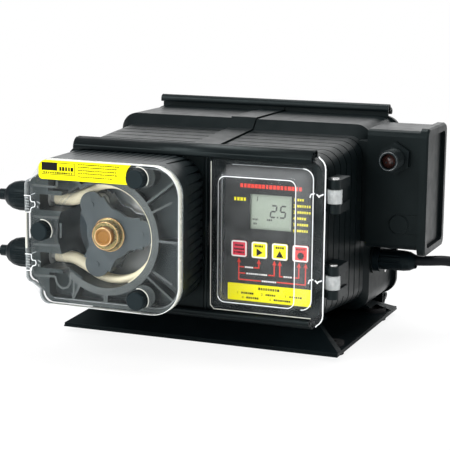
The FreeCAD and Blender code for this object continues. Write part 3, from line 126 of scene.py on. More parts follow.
def noiseAt(tree, point, scale, detail=2.0):
    return addNode(tree, "ShaderNodeTexNoise", {"Vector": point, "Scale": scale, "Detail": detail})


def rampOf(tree, factor, stops):
    ramp = addNode(tree, "ShaderNodeValToRGB", {"Fac": factor})
    elements = ramp.color_ramp.elements
    while len(elements) < len(stops):
        elements.new(0.5)
    for element, (place, colour) in zip(elements, stops):
        element.position = place
        element.color = (*colour, 1.0)
    return ramp


def rangeOf(tree, factor, source, target, smooth=False):
    labels = ("From Min", "From Max", "To Min", "To Max")
    return addNode(tree, "ShaderNodeMapRange", {"Value": factor, **dict(zip(labels, source + target))},
                   interpolation_type="SMOOTHSTEP" if smooth else "LINEAR")


def mathOf(tree, operation, first, second=0.0):
    return addNode(tree, "ShaderNodeMath", {0: first, 1: second}, operation=operation)


# The mix node's inputs 0, 6 and 7 are its factor and its two colours, and output 2 is the mixed colour
def mixColours(tree, share, first, second):
    return addNode(tree, "ShaderNodeMix", {0: share, 6: first, 7: second}, data_type="RGBA").outputs[2]


def shade(colour, factor):
    return tuple(max(0.0, min(1.0, part * factor)) for part in colour)


# One finish: colour drifts softly, gloss varies, and a fine grain lies in the bump
surfaceSettings = {"spread": (0.3, 0.7), "glossCloud": 3.1, "glossDetail": 3.0, "grain": 1500.0, "bump": 0.35}


def surface(name, colour, rough=(0.35, 0.5), vary=0.1, depth=0.004, cloud=60.0, metallic=0.0, coat=0.0,
            specular=0.5, tint=(1.0, 1.0, 1.0)):
    settings = surfaceSettings
    tree, shader = newMaterial(name)
    point = objectPoint(tree)
    spread = settings["spread"]
    stops = [(spread[0], shade(colour, 1 - vary)), (spread[1], shade(colour, 1 + vary))]
    drift = rampOf(tree, noiseAt(tree, point, cloud), stops)
    patches = noiseAt(tree, point, cloud * settings["glossCloud"], settings["glossDetail"])
    bump = addNode(tree, "ShaderNodeBump", {"Strength": settings["bump"], "Distance": depth * mm,
                                            "Height": noiseAt(tree, point, settings["grain"])})
    fill(tree, shader, {"Base Color": drift, "Roughness": rangeOf(tree, patches, spread, rough),
                        "Normal": bump, "Metallic": metallic, "Coat Weight": coat,
                        "Specular IOR Level": specular, "Specular Tint": tint})
    return tree, shader, drift


# Clear moulding: see-through where it faces front or back; where its walls turn away they are painted denser
# and whiter, a painted highlight of the light its edges catch
clearSettings = {"cloud": 90.0, "spread": (0.3, 0.7), "drift": (-0.015, 0.015), "turned": (0.5, 0.97),
                 "whitened": (0.4, 0.95), "rough": 0.1, "specular": 0.6, "coat": 0.5, "coatRough": 0.05}


def clearPlastic(name, colour, faceAlpha, wallAlpha, wallColour):
    settings = clearSettings
    tree, shader = newMaterial(name)
    flat = mathOf(tree, "ABSOLUTE", normalParts(tree)["Y"])
    patches = noiseAt(tree, objectPoint(tree), settings["cloud"])
    drift = rangeOf(tree, patches, settings["spread"], settings["drift"])
    alpha = mathOf(tree, "ADD", rangeOf(tree, flat, settings["turned"], (wallAlpha, faceAlpha), True), drift)
    # Painted highlight: turned walls take the paler wall colour
    whiter = rangeOf(tree, flat, settings["whitened"], (0.0, 1.0), True)
    tint = rampOf(tree, whiter, [(0.0, wallColour), (1.0, colour)])
    fill(tree, shader, {"Alpha": alpha, "Base Color": tint, "Roughness": settings["rough"],
                        "Specular IOR Level": settings["specular"], "Coat Weight": settings["coat"],
                        "Coat Roughness": settings["coatRough"]})


coolTint = (0.82, 1.0, 1.0)
surface("caseBlack", (0.0028, 0.0046, 0.0052), (0.34, 0.42), cloud=35.0, specular=0.11, tint=coolTint)
surface("clipBlack", (0.0028, 0.0046, 0.0054), (0.34, 0.42), specular=0.15, tint=coolTint)
surface("knobBlack", (0.0045, 0.0085, 0.011), (0.4, 0.48), specular=0.17, tint=coolTint)
surface("panelGrey", (0.032, 0.035, 0.0355), (0.42, 0.5), 0.03, cloud=25.0, specular=0.18)
surface("bracketBlack", (0.0035, 0.006, 0.0072), (0.38, 0.46), 0.15, specular=0.09, tint=coolTint)
surface("nutBlack", (0.0022, 0.005, 0.0068), (0.4, 0.48), specular=0.11, tint=coolTint)
# Painted highlight for the lit front edges of the housing's ring and ribs
surface("ribGrey", (0.086, 0.1, 0.1), (0.4, 0.5), 0.05, cloud=45.0, specular=0.25)
surface("footRubber", (0.012, 0.012, 0.013), (0.65, 0.8), 0.15, depth=0.02, specular=0.25)
surface("cordRubber", (0.0035, 0.005, 0.0065), (0.4, 0.48), specular=0.12)
surface("zincSteel", (0.6, 0.6, 0.59), (0.22, 0.32), 0.08, metallic=1.0)
surface("rotorGrey", (0.056, 0.073, 0.081), (0.34, 0.42), 0.06, cloud=40.0, specular=0.26)
surface("rotorShine", (0.34, 0.37, 0.4), (0.18, 0.26), metallic=0.9)
surface("rollerWhite", (0.55, 0.57, 0.57), (0.25, 0.34), 0.05)
surface("bossBronze", (0.21, 0.175, 0.07), (0.24, 0.34), 0.22, cloud=150.0, metallic=0.85)
surface("buttonCopper", (0.27, 0.12, 0.014), (0.36, 0.44), 0.08, cloud=120.0, metallic=0.2, specular=0.26)
surface("edgeGold", (0.80, 0.50, 0.24), (0.22, 0.3), 0.08, metallic=0.45)
surface("tubeCream", (0.98, 0.91, 0.66), (0.36, 0.46), 0.03, depth=0.006, cloud=45.0)
surface("fittingMilky", (0.55, 0.58, 0.57), (0.16, 0.28), coat=0.4)
surface("labelYellow", (0.96, 0.9, 0.0), (0.44, 0.5), 0.02, depth=0.002, cloud=30.0, specular=0.14)
surface("keyCrimson", (0.74, 0.012, 0.05), (0.32, 0.4), 0.04, cloud=80.0)
surface("keyYellow", (0.93, 0.84, 0.0), (0.4, 0.48), 0.03, cloud=80.0, specular=0.25)
surface("keyRed", (0.80, 0.012, 0.012), (0.32, 0.4), 0.04, cloud=80.0)
surface("printWhite", (0.88, 0.88, 0.86), (0.4, 0.5), 0.03, depth=0.002)
surface("printRed", (0.75, 0.04, 0.02), (0.4, 0.5), 0.04, depth=0.002)
surface("printBlack", (0.006, 0.006, 0.007), (0.5, 0.6), 0.05, depth=0.002, specular=0.1)
surface("printYellow", (0.84, 0.76, 0.0), (0.4, 0.5), 0.04, depth=0.002)
surface("displayFace", (0.34, 0.405, 0.33), (0.3, 0.4), 0.03, depth=0.002, cloud=25.0)
surface("displayMark", (0.03, 0.038, 0.036), (0.3, 0.4), 0.05, depth=0.002)
surface("socketRim", (0.02, 0.028, 0.032), (0.12, 0.2), coat=0.5)
surface("boardGreen", (0.01, 0.09, 0.03), (0.3, 0.4), 0.2, depth=0.02, cloud=90.0)
surface("castGrey", (0.3, 0.3, 0.31), (0.4, 0.55), 0.12, depth=0.03, metallic=0.6)
surface("coreIron", (0.06, 0.06, 0.065), (0.45, 0.6), 0.2, depth=0.03, metallic=0.6)
surface("socketBrown", (0.03, 0.011, 0.009), (0.24, 0.32), 0.15)
# Painted highlights: bright, cream and soft lines drawn where clear edges catch the light
surface("brightEdge", (0.9, 0.93, 0.94), (0.15, 0.25), 0.06, depth=0.002, coat=0.4)
surface("creamEdge", (0.68, 0.69, 0.62), (0.2, 0.3), 0.06, depth=0.002, coat=0.2)
surface("softEdge", (0.36, 0.39, 0.40), (0.2, 0.3), 0.08, depth=0.002, coat=0.3)
clearPlastic("clearDoor", (0.45, 0.48, 0.5), 0.02, 0.075, (0.75, 0.78, 0.8))
clearPlastic("clearHead", (0.28, 0.31, 0.315), 0.03, 0.12, (0.64, 0.68, 0.7))
clearPlastic("clearPane", (0.6, 0.66, 0.6), 0.04, 0.15, (0.7, 0.74, 0.7))
clearPlastic("clearKnuckle", (0.5, 0.53, 0.53), 0.5, 0.72, (0.52, 0.55, 0.55))

# The housing is black round its sides and grey on its front-facing faces: a darker grey on its pocket floors
# as painted shade and a lighter grey on its front edges as painted highlight, while left of the ports' end
# the front edges keep mostly the darker grey
castingSettings = {
    # The darker floor colour is painted shade and the lighter front colour a painted highlight
    "side": (0.0045, 0.007, 0.008), "shadedFloor": (0.028, 0.036, 0.038), "front": (0.078, 0.09, 0.09),
    "rough": (0.36, 0.44), "cloud": 45.0, "specular": 0.22, "facing": (-0.9, -0.6),
    "edgePlane": (-147.6, -147.0), "portsEnd": (-77.0, -75.0), "portsShare": 0.12,
}


def headCasting(name, settings):
    tree, shader, drift = surface(name, settings["side"], settings["rough"], cloud=settings["cloud"],
                                  specular=settings["specular"], tint=coolTint)
    place = pointParts(tree)
    planeLow, planeHigh = settings["edgePlane"]
    endLow, endHigh = settings["portsEnd"]
    # Painted highlight on the front plane, painted shade on the pocket floors behind it
    edgeShare = rangeOf(tree, place["Y"], (planeLow * mm, planeHigh * mm), (1.0, 0.0))
    portsFade = rangeOf(tree, place["X"], (endLow * mm, endHigh * mm), (settings["portsShare"], 1.0))
    faceShare = rangeOf(tree, normalParts(tree)["Y"], settings["facing"], (1.0, 0.0))
    highlightShare = mathOf(tree, "MULTIPLY", edgeShare, portsFade)
    faces = mixColours(tree, highlightShare, settings["shadedFloor"], settings["front"])
    fill(tree, shader, {"Base Color": mixColours(tree, faceShare, drift, faces)})


headCasting("headGrey", castingSettings)

dressing = {
    "caseBlack": ["case_left", "case_right", "rear_panel", "drive_front_plate", "control_panel",
                  "junction_body", "junction_cap", "blank_plug"],
    "clipBlack": ["centre_strip", "rail_front_top", "rail_front_bottom", "rail_rear_top", "rail_rear_bottom",
                  "hinge_brackets", "signal_connector", "connector_nut"],
    "knobBlack": ["thumb_screw_top", "thumb_screw_side", "thumb_screw_bottom"],
    "nutBlack": ["suction_nut", "discharge_nut", "ferrules", "gland_body", "gland_nut"],
    "headGrey": ["head_housing"],
    "panelGrey": ["panel_overlay"],
    "bracketBlack": ["base_bracket"],
    "footRubber": ["rubber_feet"],
    "cordRubber": ["power_cord", "cord_coil", "cord_tail", "power_plug"],
    "zincSteel": ["base_screws", "cover_hinge_pins", "drive_shaft", "motor"],
    "rotorGrey": ["rotor_front_plate", "roller_pins"],
    "rotorShine": ["rotor_back_plate"],
    "rollerWhite": ["roller_1", "roller_2", "roller_3"],
    "bossBronze": ["rotor_hub", "shaft_bush"],
    "buttonCopper": ["hub_button"],
    "tubeCream": ["pump_tube"],
    "fittingMilky": ["tube_fittings"],
    "labelYellow": ["head_label", "label_strip"],
    "keyCrimson": ["key_mode"],
    "keyYellow": ["key_right", "key_up"],
    "keyRed": ["key_stop"],
    "displayFace": ["display_module"],
    "boardGreen": ["control_board"],
    "castGrey": ["gearbox_case"],
    "coreIron": ["power_transformer"],
    "clearDoor": ["control_cover"],
    "clearHead": ["head_cover"],
    "clearPane": ["display_window"],
}
for finishName, members in dressing.items():
    for member in members:
        nodes[member].data.materials.clear()
        nodes[member].data.materials.append(finishes[finishName])
undressed = set(nodes) - {member for members in dressing.values() for member in members}
print("finishes made; nodes without one:", sorted(undressed))


def addSpline(curve, kind, points):
    curve.dimensions = "3D"
    spline = curve.splines.new(kind)
    spline.points.add(len(points) - 1)
    for place, (x, y, z) in zip(spline.points, points):
        place.co = (x * mm, y * mm, z * mm, 1.0)
    return spline


# Power cord: one smooth line from the gland, into its coil, and out to the plug
cordSettings = {
    "radius": 4.15,
    "smooth": 6,
    "route": [(128.0, 27.0, 59.0), (150.5, 28.0, 59.6), (171.5, 39.3, 60.2), (191.0, 49.0, 52.0),
              (207.0, 57.0, 40.0), (221.0, 65.5, 27.5), (238.0, 71.5, 18.0), (258.0, 74.4, 13.4)],
    "coilCentre": (278.0, 128.3),
    "coilRadii": [53.3, 45.0, 36.7],
    "coilHeights": (12.45, 4.2),
    "coilTurns": 5.5,
    "steadyShare": 0.72,
    "pointsPerTurn": 20,
    "tail": [(259.0, 181.2, 4.4), (240.0, 178.6, 6.8), (221.0, 176.8, 10.0), (204.0, 176.8, 10.0)],
}


# The coil's turns run inwards on the upper layer and outwards on the lower one
def coilPoints(settings):
    centreX, centreY = settings["coilCentre"]
    count, steady = settings["pointsPerTurn"], settings["steadyShare"]
    upper, lower = settings["coilHeights"]
    radii = settings["coilRadii"]
    turns = [(r, upper) for r in radii] + [(r, lower) for r in reversed(radii)]
    points = []
    for step in range(int(count * settings["coilTurns"]) + 1):
        index = min(int(step / count), len(turns) - 1)
        after = min(index + 1, len(turns) - 1)
        share = max(0.0, (step / count - index - steady) / (1 - steady))
        ease = share * share * (3 - 2 * share)
        radius, height = [now + (then - now) * ease for now, then in zip(turns[index], turns[after])]
        angle = -math.pi / 2 + 2 * math.pi * step / count
        points.append((centreX + radius * math.cos(angle), centreY + radius * math.sin(angle), height))
    return points


def makeCord(settings):
    curve = bpy.data.curves.new("powerCord", "CURVE")
    curve.bevel_depth = settings["radius"] * mm
    curve.bevel_resolution = settings["smooth"]
    curve.resolution_u = settings["smooth"]
    curve.use_fill_caps = True
    spline = addSpline(curve, "NURBS", settings["route"] + coilPoints(settings) + settings["tail"])
    spline.order_u = 3
    spline.use_endpoint_u = True
    curve.materials.append(finishes["cordRubber"])
    cord = addObject("powerCord", curve)
    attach(cord, "case")
    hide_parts("power_cord", "cord_coil", "cord_tail")


makeCord(cordSettings)
print("cord laid")


# Geometry Nodes: each tree has named inputs and ends in Realize Instances and Set Material
def newTree(name, inputs):
    tree = bpy.data.node_groups.new(name, "GeometryNodeTree")
    sockets = tree.interface
    sockets.new_socket("Geometry", in_out="INPUT", socket_type="NodeSocketGeometry")
    for label, (kind, value) in inputs.items():
        sockets.new_socket(label, in_out="INPUT", socket_type="NodeSocket" + kind).default_value = value
    sockets.new_socket("Material", in_out="INPUT", socket_type="NodeSocketMaterial")
    sockets.new_socket("Geometry", in_out="OUTPUT", socket_type="NodeSocketGeometry")
    return tree, tree.nodes.new("NodeGroupInput").outputs


def finishTree(tree, entry, geometry):
    realize = addNode(tree, "GeometryNodeRealizeInstances", {"Geometry": geometry})
    paint = addNode(tree, "GeometryNodeSetMaterial", {"Geometry": realize, "Material": entry["Material"]})
    addNode(tree, "NodeGroupOutput", {"Geometry": paint})
    return tree


def circleNode(tree, radius, sides):
    return addNode(tree, "GeometryNodeCurvePrimitiveCircle", {"Radius": radius, "Resolution": sides})


def lineNode(tree, entry, offset):
    return addNode(tree, "GeometryNodeMeshLine", {"Count": entry["Count"], "Start Location": entry["Start"],
                                                  "Offset": offset})


def instanceNode(tree, points, instance, **placing):
    return addNode(tree, "GeometryNodeInstanceOnPoints", {"Points": points, "Instance": instance, **placing})


def vectorNode(tree, x, **others):
    return addNode(tree, "ShaderNodeCombineXYZ", {"X": x, **others})


# A round line that follows a path
def edgeLineTree():
    tree, entry = newTree("edgeLine", {"Radius": ("Float", 0.0004), "Sides": ("Int", 8)})
    profile = circleNode(tree, entry["Radius"], entry["Sides"])
    sweep = addNode(tree, "GeometryNodeCurveToMesh", {"Curve": entry["Geometry"], "Fill Caps": True,
                                                      "Profile Curve": profile})
    return finishTree(tree, entry, sweep)


# A row of small bars of uneven length
def barRowTree():
    shortest, longest = 0.5, 0.92
    tree, entry = newTree("barRow", {
        "Start": ("Vector", (0, 0, 0)), "Count": ("Int", 8), "Pitch": ("Float", 0.002),
        "Height": ("Float", 0.001), "Thickness": ("Float", 0.0001), "Seed": ("Int", 1)})
    length = addNode(tree, "FunctionNodeRandomValue", {2: shortest, 3: longest, "Seed": entry["Seed"]},
                     data_type="FLOAT")
    scale = vectorNode(tree, length.outputs[1], Y=1.0, Z=1.0)
    size = vectorNode(tree, entry["Pitch"], Y=entry["Thickness"], Z=entry["Height"])
    line = lineNode(tree, entry, vectorNode(tree, entry["Pitch"]))
    bar = addNode(tree, "GeometryNodeMeshCube", {"Size": size})
    return finishTree(tree, entry, instanceNode(tree, line, bar, Scale=scale))


# Rings stacked along a line: the crests of a thread
def threadTree():
    tree, entry = newTree("threadRings", {
        "Start": ("Vector", (0, 0, 0)), "Step": ("Vector", (0, 0.0015, 0)),
        "Turn": ("Vector", (math.pi / 2, 0, 0)), "Count": ("Int", 8), "Radius": ("Float", 0.008),
        "Crest": ("Float", 0.0004)})
    ringSides, crestSides = 48, 6
    ring = circleNode(tree, entry["Radius"], ringSides)
    crest = circleNode(tree, entry["Crest"], crestSides)
    sweep = addNode(tree, "GeometryNodeCurveToMesh", {"Curve": ring, "Profile Curve": crest})
    line = lineNode(tree, entry, entry["Step"])
    return finishTree(tree, entry, instanceNode(tree, line, sweep, Rotation=entry["Turn"]))


trees = {"edgeLine": edgeLineTree(), "barRow": barRowTree(), "threadRings": threadTree()}


# Turns a source object into a plain mesh and drops the source
def settle(source):
    mesh = bpy.data.meshes.new_from_object(source.evaluated_get(bpy.context.evaluated_depsgraph_get()))
    bpy.data.objects.remove(source)
    return mesh


def grow(data, treeName, values):
    source = addObject("source", data)
    modifier = source.modifiers.new(treeName, "NODES")
    modifier.node_group = trees[treeName]
    for item in trees[treeName].interface.items_tree:
        if item.item_type == "SOCKET" and item.in_out == "INPUT" and item.name in values:
            modifier[item.identifier] = values[item.name]
    return settle(source)


def meshFrom(bm, finish):
    mesh = bpy.data.meshes.new("part")
    bm.to_mesh(mesh)
    bm.free()
    mesh.materials.append(finishes[finish])
    return mesh


# Joins meshes of one finish each, the last of its slots, into a piece that rides on a body
def makePiece(name, meshes, body, smooth=False):
    joined = bmesh.new()
    materials = []
    for mesh in meshes:
        start = len(joined.faces)
        joined.from_mesh(mesh)
        joined.faces.ensure_lookup_table()
        finish = mesh.materials[-1]
        if finish not in materials:
            materials.append(finish)
        for face in joined.faces[start:]:
            face.material_index = materials.index(finish)
            face.smooth = smooth
    bmesh.ops.recalc_face_normals(joined, faces=joined.faces[:])
    result = bpy.data.meshes.new(name)
    joined.to_mesh(result)
    joined.free()
    for material in materials:
        result.materials.append(material)
    piece = addObject(name, result)
    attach(piece, body)
    return piece


# A round line through the outline's points in the plane at y
def lineMesh(outline, y, radius, finish, closed=False):
    curve = bpy.data.curves.new("path", "CURVE")
    addSpline(curve, "POLY", [(x, y, z) for x, z in outline]).use_cyclic_u = closed
    sides = 8
    return grow(curve, "edgeLine", {"Radius": radius * mm, "Sides": sides, "Material": finishes[finish]})


# Flat print: outlines in the front's plane, given a small thickness
def printMesh(outlines, frontY, thickness, finish):
    bm = bmesh.new()
    for outline in outlines:
        face = bm.faces.new([bm.verts.new((x * mm, frontY * mm, z * mm)) for x, z in outline])
        grown = bmesh.ops.extrude_face_region(bm, geom=[face])
        moved = [part for part in grown["geom"] if isinstance(part, bmesh.types.BMVert)]
        bmesh.ops.translate(bm, verts=moved, vec=(0, thickness * mm, 0))
    return meshFrom(bm, finish)


def numeralMesh(number, x, z, frontY, height, thickness, finish):
    capShare = 1.4
    curve = bpy.data.curves.new("numeral", "FONT")
    curve.body = str(number)
    curve.size = height * capShare * mm
    curve.extrude = thickness / 2 * mm
    mesh = settle(addObject("source", curve))
    mesh.transform(Matrix.Translation((x * mm, frontY * mm, z * mm)) @ Matrix.Rotation(math.pi / 2, 4, "X"))
    mesh.materials.clear()
    mesh.materials.append(finishes[finish])
    return mesh


# Rows of bars, each given by its two ends, its height on the object, bar height, seed and pitch
def barMeshes(rows, frontY, finish, x=0.0, z=0.0):
    thickness = 0.06
    meshes = []
    for x0, x1, rise, height, seed, pitch in rows:
        values = {"Start": ((x + x0 + pitch / 2) * mm, frontY * mm, (z + rise) * mm), "Pitch": pitch * mm,
                  "Count": max(1, round((x1 - x0) / pitch)), "Height": height * mm,
                  "Thickness": thickness * mm, "Seed": seed, "Material": finishes[finish]}
        meshes.append(grow(bpy.data.meshes.new("bars"), "barRow", values))
    return meshes


def strip(ax, az, bx, bz, width):
    length = math.hypot(bx - ax, bz - az)
    acrossX, acrossZ = -(bz - az) / length * width / 2, (bx - ax) / length * width / 2
    return [(ax + acrossX, az + acrossZ), (ax - acrossX, az - acrossZ),
            (bx - acrossX, bz - acrossZ), (bx + acrossX, bz + acrossZ)]


def boxOutline(x0, x1, z0, z1):
    return [(x0, z0), (x1, z0), (x1, z1), (x0, z1)]


def arcPoints(x, z, radius, start, sweep, steps=6):
    points = []
    for step in range(steps + 1):
        angle = math.radians(start + sweep * step / steps)
        points.append((x + radius * math.cos(angle), z + radius * math.sin(angle)))
    return points


def headArcs(radii, arc):
    return [arcPoints(*headCentre, radius, *arc) for radius in radii]


def discOutline(x, z, radius, steps=28):
    return arcPoints(x, z, radius, 0, 360, steps)[:-1]


# Corners run high right, high left, low left, low right
def roundedOutline(x0, x1, z0, z1, radii, steps=6):
    corners = ((x1, z1, -1, -1), (x0, z1, 1, -1), (x0, z0, 1, 1), (x1, z0, -1, 1))
    points = []
    for index, ((x, z, signX, signZ), radius) in enumerate(zip(corners, radii)):
        points += arcPoints(x + signX * radius, z + signZ * radius, radius, 90 * index, 90, steps)
    return points


def frameOutlines(x0, x1, z0, z1, radius, width):
    smallest = 0.2
    outer = roundedOutline(x0, x1, z0, z1, [radius] * 4)
    inner = roundedOutline(x0 + width, x1 - width, z0 + width, z1 - width,
                           [max(smallest, radius - width)] * 4)
    count = len(outer)
    return [[outer[i], outer[(i + 1) % count], inner[(i + 1) % count], inner[i]] for i in range(count)]


# Keys: white borders, black signs and bars, placed from the middle of each key
keySettings = {
    "half": 6.15, "pitch": 16.3, "firstX": 40.1, "z": 83.4,
    "front": -93.86, "border": 1.1, "round": 1.6, "ink": 0.08,
    "keys": [
        ("key_mode", "key_crimson", [(-3.4, 3.4, 2.6, 1.3, 3, 1.7), (-4.2, 4.2, -0.3, 1.3, 5, 1.7),
                                     (-4.2, 4.2, -2.8, 1.3, 8, 1.7)], None),
        ("key_right", "key_yellow", [(-3.6, 3.2, 3.0, 1.5, 4, 1.7)],
         [(-2.1, -4.6), (2.6, -1.8), (-2.1, 1.2)]),
        ("key_up", "key_yellow", [(-3.4, 3.4, 3.0, 1.5, 6, 1.7)], [(-2.9, -4.3), (2.9, -4.3), (0.0, 0.8)]),
        ("key_stop", "key_red", [(-3.6, 3.6, 3.2, 1.4, 7, 1.8)], discOutline(0.2, -1.6, 2.6)),
    ],
}


def makeKeys(settings):
    half, z, front, ink = settings["half"], settings["z"], settings["front"], settings["ink"]
    for index, (body, slot, rows, sign) in enumerate(settings["keys"]):
        x = settings["firstX"] + index * settings["pitch"]
        border = frameOutlines(x - half, x + half, z - half, z + half, settings["round"], settings["border"])
        meshes = [printMesh(border, front, ink, "printWhite")]
        meshes += barMeshes(rows, front, "printBlack", x, z)
        if sign:
            meshes.append(printMesh([[(x + dx, z + dz) for dx, dz in sign]], front, ink, "printBlack"))
        makePiece(body + "Print", meshes, body)


makeKeys(keySettings)

# Print on the panel: red brackets with arrow heads, a numbered yellow list and rows of bars
panelSettings = {
    "front": -93.0, "ink": 0.08, "line": 0.9, "arrow": (3.2, 3.4), "arrowTip": 76.2, "arrowSink": 2.0,
    "stems": [(39.8, 59.6), (55.9, 69.5), (68.3, 64.7), (93.0, 59.9), (72.6, 64.5), (87.7, 64.6)],
    "runs": [(39.8, 69.4, 44.0, 69.4), (51.8, 69.5, 55.9, 69.5), (39.8, 64.6, 45.0, 64.6),
             (63.7, 64.7, 68.3, 64.7), (39.8, 59.6, 57.6, 59.6), (70.4, 59.9, 93.0, 59.9),
             (72.6, 64.5, 75.0, 64.5), (83.6, 64.6, 87.7, 64.6)],
    "title": (40.0, 90.0, 131.6, 3.0, 11, 2.9),
    "mode": (35.0, 45.6, 121.2, 2.6, 2, 2.6),
    "whiteRows": [(44.6, 51.4, 69.4, 1.15, 3, 1.7), (45.8, 63.2, 64.6, 1.15, 4, 1.7),
                  (58.2, 69.8, 59.7, 1.15, 5, 1.7), (75.6, 83.2, 64.6, 1.15, 6, 1.7)],
    "list": {"numeralX": 82.5, "barsX": 85.5, "top": 123.6, "pitch": 4.64, "height": 2.5, "barShare": 0.72,
             "ends": (91, 97, 96, 92, 95, 95), "firstSeed": 20, "barPitch": 1.8},
}


def redBrackets(settings):
    line, tip = settings["line"], settings["arrowTip"]
    width, height = settings["arrow"]
    half = line / 2
    outlines = [strip(*run, line) for run in settings["runs"]]
    for x, low in settings["stems"]:
        outlines.append(boxOutline(x - half, x + half, low - half, tip - settings["arrowSink"]))
        outlines.append([(x - width / 2, tip - height), (x + width / 2, tip - height), (x, tip)])
    return printMesh(outlines, settings["front"] - settings["ink"], settings["ink"], "printRed")


def makePanelPrint(settings):
    front, ink, rows = settings["front"] - settings["ink"] / 2, settings["ink"], settings["list"]
    meshes = [redBrackets(settings)]
    meshes += barMeshes([settings["title"]], front, "printRed")
    meshes += barMeshes([settings["mode"]], front, "printYellow")
    meshes += barMeshes(settings["whiteRows"], front, "printWhite")
    height = rows["height"]
    for row, end in enumerate(rows["ends"]):
        z = rows["top"] - row * rows["pitch"]
        meshes.append(numeralMesh(row + 1, rows["numeralX"], z - height / 2, front, height, ink,
                                  "printYellow"))
        bars = (rows["barsX"], end, z, height * rows["barShare"], rows["firstSeed"] + row, rows["barPitch"])
        meshes += barMeshes([bars], front, "printYellow")
    makePiece("panelPrint", meshes, "case")


makePanelPrint(panelSettings)

# Strip under the keys: a yellow plate with a heading and five numbered entries
stripSettings = {
    "front": -93.25, "ink": 0.07, "height": 1.9, "barShare": 0.75, "barsFrom": 3.4, "barPitch": 1.7,
    "firstSeed": 40, "plate": (31.0, 97.6, 43.4, 56.5), "sheet": 0.2, "round": 0.6,
    "heading": (55.6, 73.4, 53.6, 1.9, 31, 1.9),
    "items": [(38.4, 51.8, 49.4), (58.0, 69.8, 49.4), (77.0, 90.6, 49.6), (42.6, 56.8, 46.0),
              (64.8, 81.0, 46.0)],
}


def makeStripPlate(settings):
    outline = roundedOutline(*settings["plate"], [settings["round"]] * 4, 2)
    plate = printMesh([outline], settings["front"], settings["sheet"], "labelYellow")
    piece = makePiece("stripPlate", [plate], "case")
    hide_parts("label_strip")


def makeStripPrint(settings):
    front, height = settings["front"] - settings["ink"] / 2, settings["height"]
    meshes = barMeshes([settings["heading"]], front, "printBlack")
    for number, (x0, x1, z) in enumerate(settings["items"], 1):
        meshes.append(numeralMesh(number, x0, z - height / 2, front, height, settings["ink"], "printBlack"))
        bars = (x0 + settings["barsFrom"], x1, z, height * settings["barShare"],
                settings["firstSeed"] + number, settings["barPitch"])
        meshes += barMeshes([bars], front, "printBlack")
    makePiece("stripPrint", meshes, "case")


makeStripPlate(stripSettings)
makeStripPrint(stripSettings)

# Display: seven-segment digits and small marks on the glass behind the window
displaySettings = {
    "front": -91.0, "ink": 0.08, "lean": 0.13, "point": (69.0, 70.1, 108.15, 109.25), "barLift": 0.03,
    "digits": [("2", 63.7, 108.7, 4.1, 8.8, 1.2), ("5", 71.2, 108.7, 4.1, 8.8, 1.2),
               ("1", 51.6, 120.0, 1.6, 3.8, 0.72)],
    "bars": [(49.4, 54.2, 106.2, 1.4, 60, 1.5), (50.2, 53.8, 103.0, 1.4, 61, 1.5),
             (61.0, 65.2, 106.4, 1.4, 62, 1.5)],
}
segmentsOf = {"1": "bc", "2": "abged", "5": "afgcd"}


def segmentOutlines(lean, character, x, z, width, height, stroke):
    insetShare = 0.3
    mid, inset = height / 2, stroke * insetShare
    segments = {
        "a": (0, height, width, height), "b": (width, mid, width, height), "c": (width, 0, width, mid),
        "d": (0, 0, width, 0), "e": (0, 0, 0, mid), "f": (0, mid, 0, height), "g": (0, mid, width, mid),
    }
    outlines = []
    for key in segmentsOf[character]:
        ax, az, bx, bz = segments[key]
        if ax == bx:
            az, bz = az + inset, bz - inset
        else:
            ax, bx = ax + inset, bx - inset
        outlines.append([(x + px + lean * pz, z + pz) for px, pz in strip(ax, az, bx, bz, stroke)])
    return outlines


def makeDisplayMarks(settings):
    outlines = [boxOutline(*settings["point"])]
    for digit in settings["digits"]:
        outlines += segmentOutlines(settings["lean"], *digit)
    front = settings["front"] - settings["ink"]
    meshes = [printMesh(outlines, front, settings["ink"], "displayMark")]
    meshes += barMeshes(settings["bars"], front + settings["barLift"], "displayMark")
    makePiece("displayMarks", meshes, "case")


makeDisplayMarks(displaySettings)
print("panel printed")

# Head label: a yellow plate cut round the knob, with a dark keyline, a block and rows of short bars
labelSettings = {
    "front": -156.7, "sheet": 0.4, "ink": 0.07, "barLift": 0.03, "plate": (-95.4, -21.5, 136.65, 150.95),
    "rounds": (3.0, 6.0, 3.0, 3.0), "leftEnd": -75.4, "cut": (-13.0, 142.3, 10.8, 12),
    "block": (-92.6, -79.7, 143.4, 149.0), "frame": (-92.8, -65.2, 140.3, 149.4, 0.4, 0.45),
    "bars": [(-78.3, -66.4, 145.0, 3.0, 71, 2.4), (-91.7, -66.7, 141.8, 1.3, 72, 1.9),
             (-62.7, -28.1, 149.1, 0.8, 80, 2.0), (-62.7, -31.5, 147.1, 0.8, 81, 2.0),
             (-62.7, -30.5, 144.8, 0.8, 82, 2.0), (-62.7, -30.5, 142.6, 0.8, 83, 2.0),
             (-62.7, -35.5, 140.0, 0.8, 84, 2.0)],
}


def makeLabelPlate(settings):
    x0, x1, z0, z1 = settings["plate"]
    cutX, cutZ, radius, steps = settings["cut"]
    whole = roundedOutline(x0, x1, z0, z1, settings["rounds"])
    left = [point for point in whole if point[0] < settings["leftEnd"]]
    first = math.degrees(math.asin((z1 - cutZ) / radius))
    last = math.degrees(math.asin((cutZ - z0) / radius))
    notch = arcPoints(cutX, cutZ, radius, 180 + last, -first - last, steps)
    plate = printMesh([left + notch], settings["front"], settings["sheet"], "labelYellow")
    piece = makePiece("labelPlate", [plate], "head_lid")
    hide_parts("head_label")


def makeLabelPrint(settings):
    front = settings["front"] - settings["ink"]
    outlines = frameOutlines(*settings["frame"]) + [boxOutline(*settings["block"])]
    meshes = [printMesh(outlines, front, settings["ink"], "printBlack")]
    meshes += barMeshes(settings["bars"], front + settings["barLift"], "printBlack")
    makePiece("labelPrint", meshes, "head_lid")


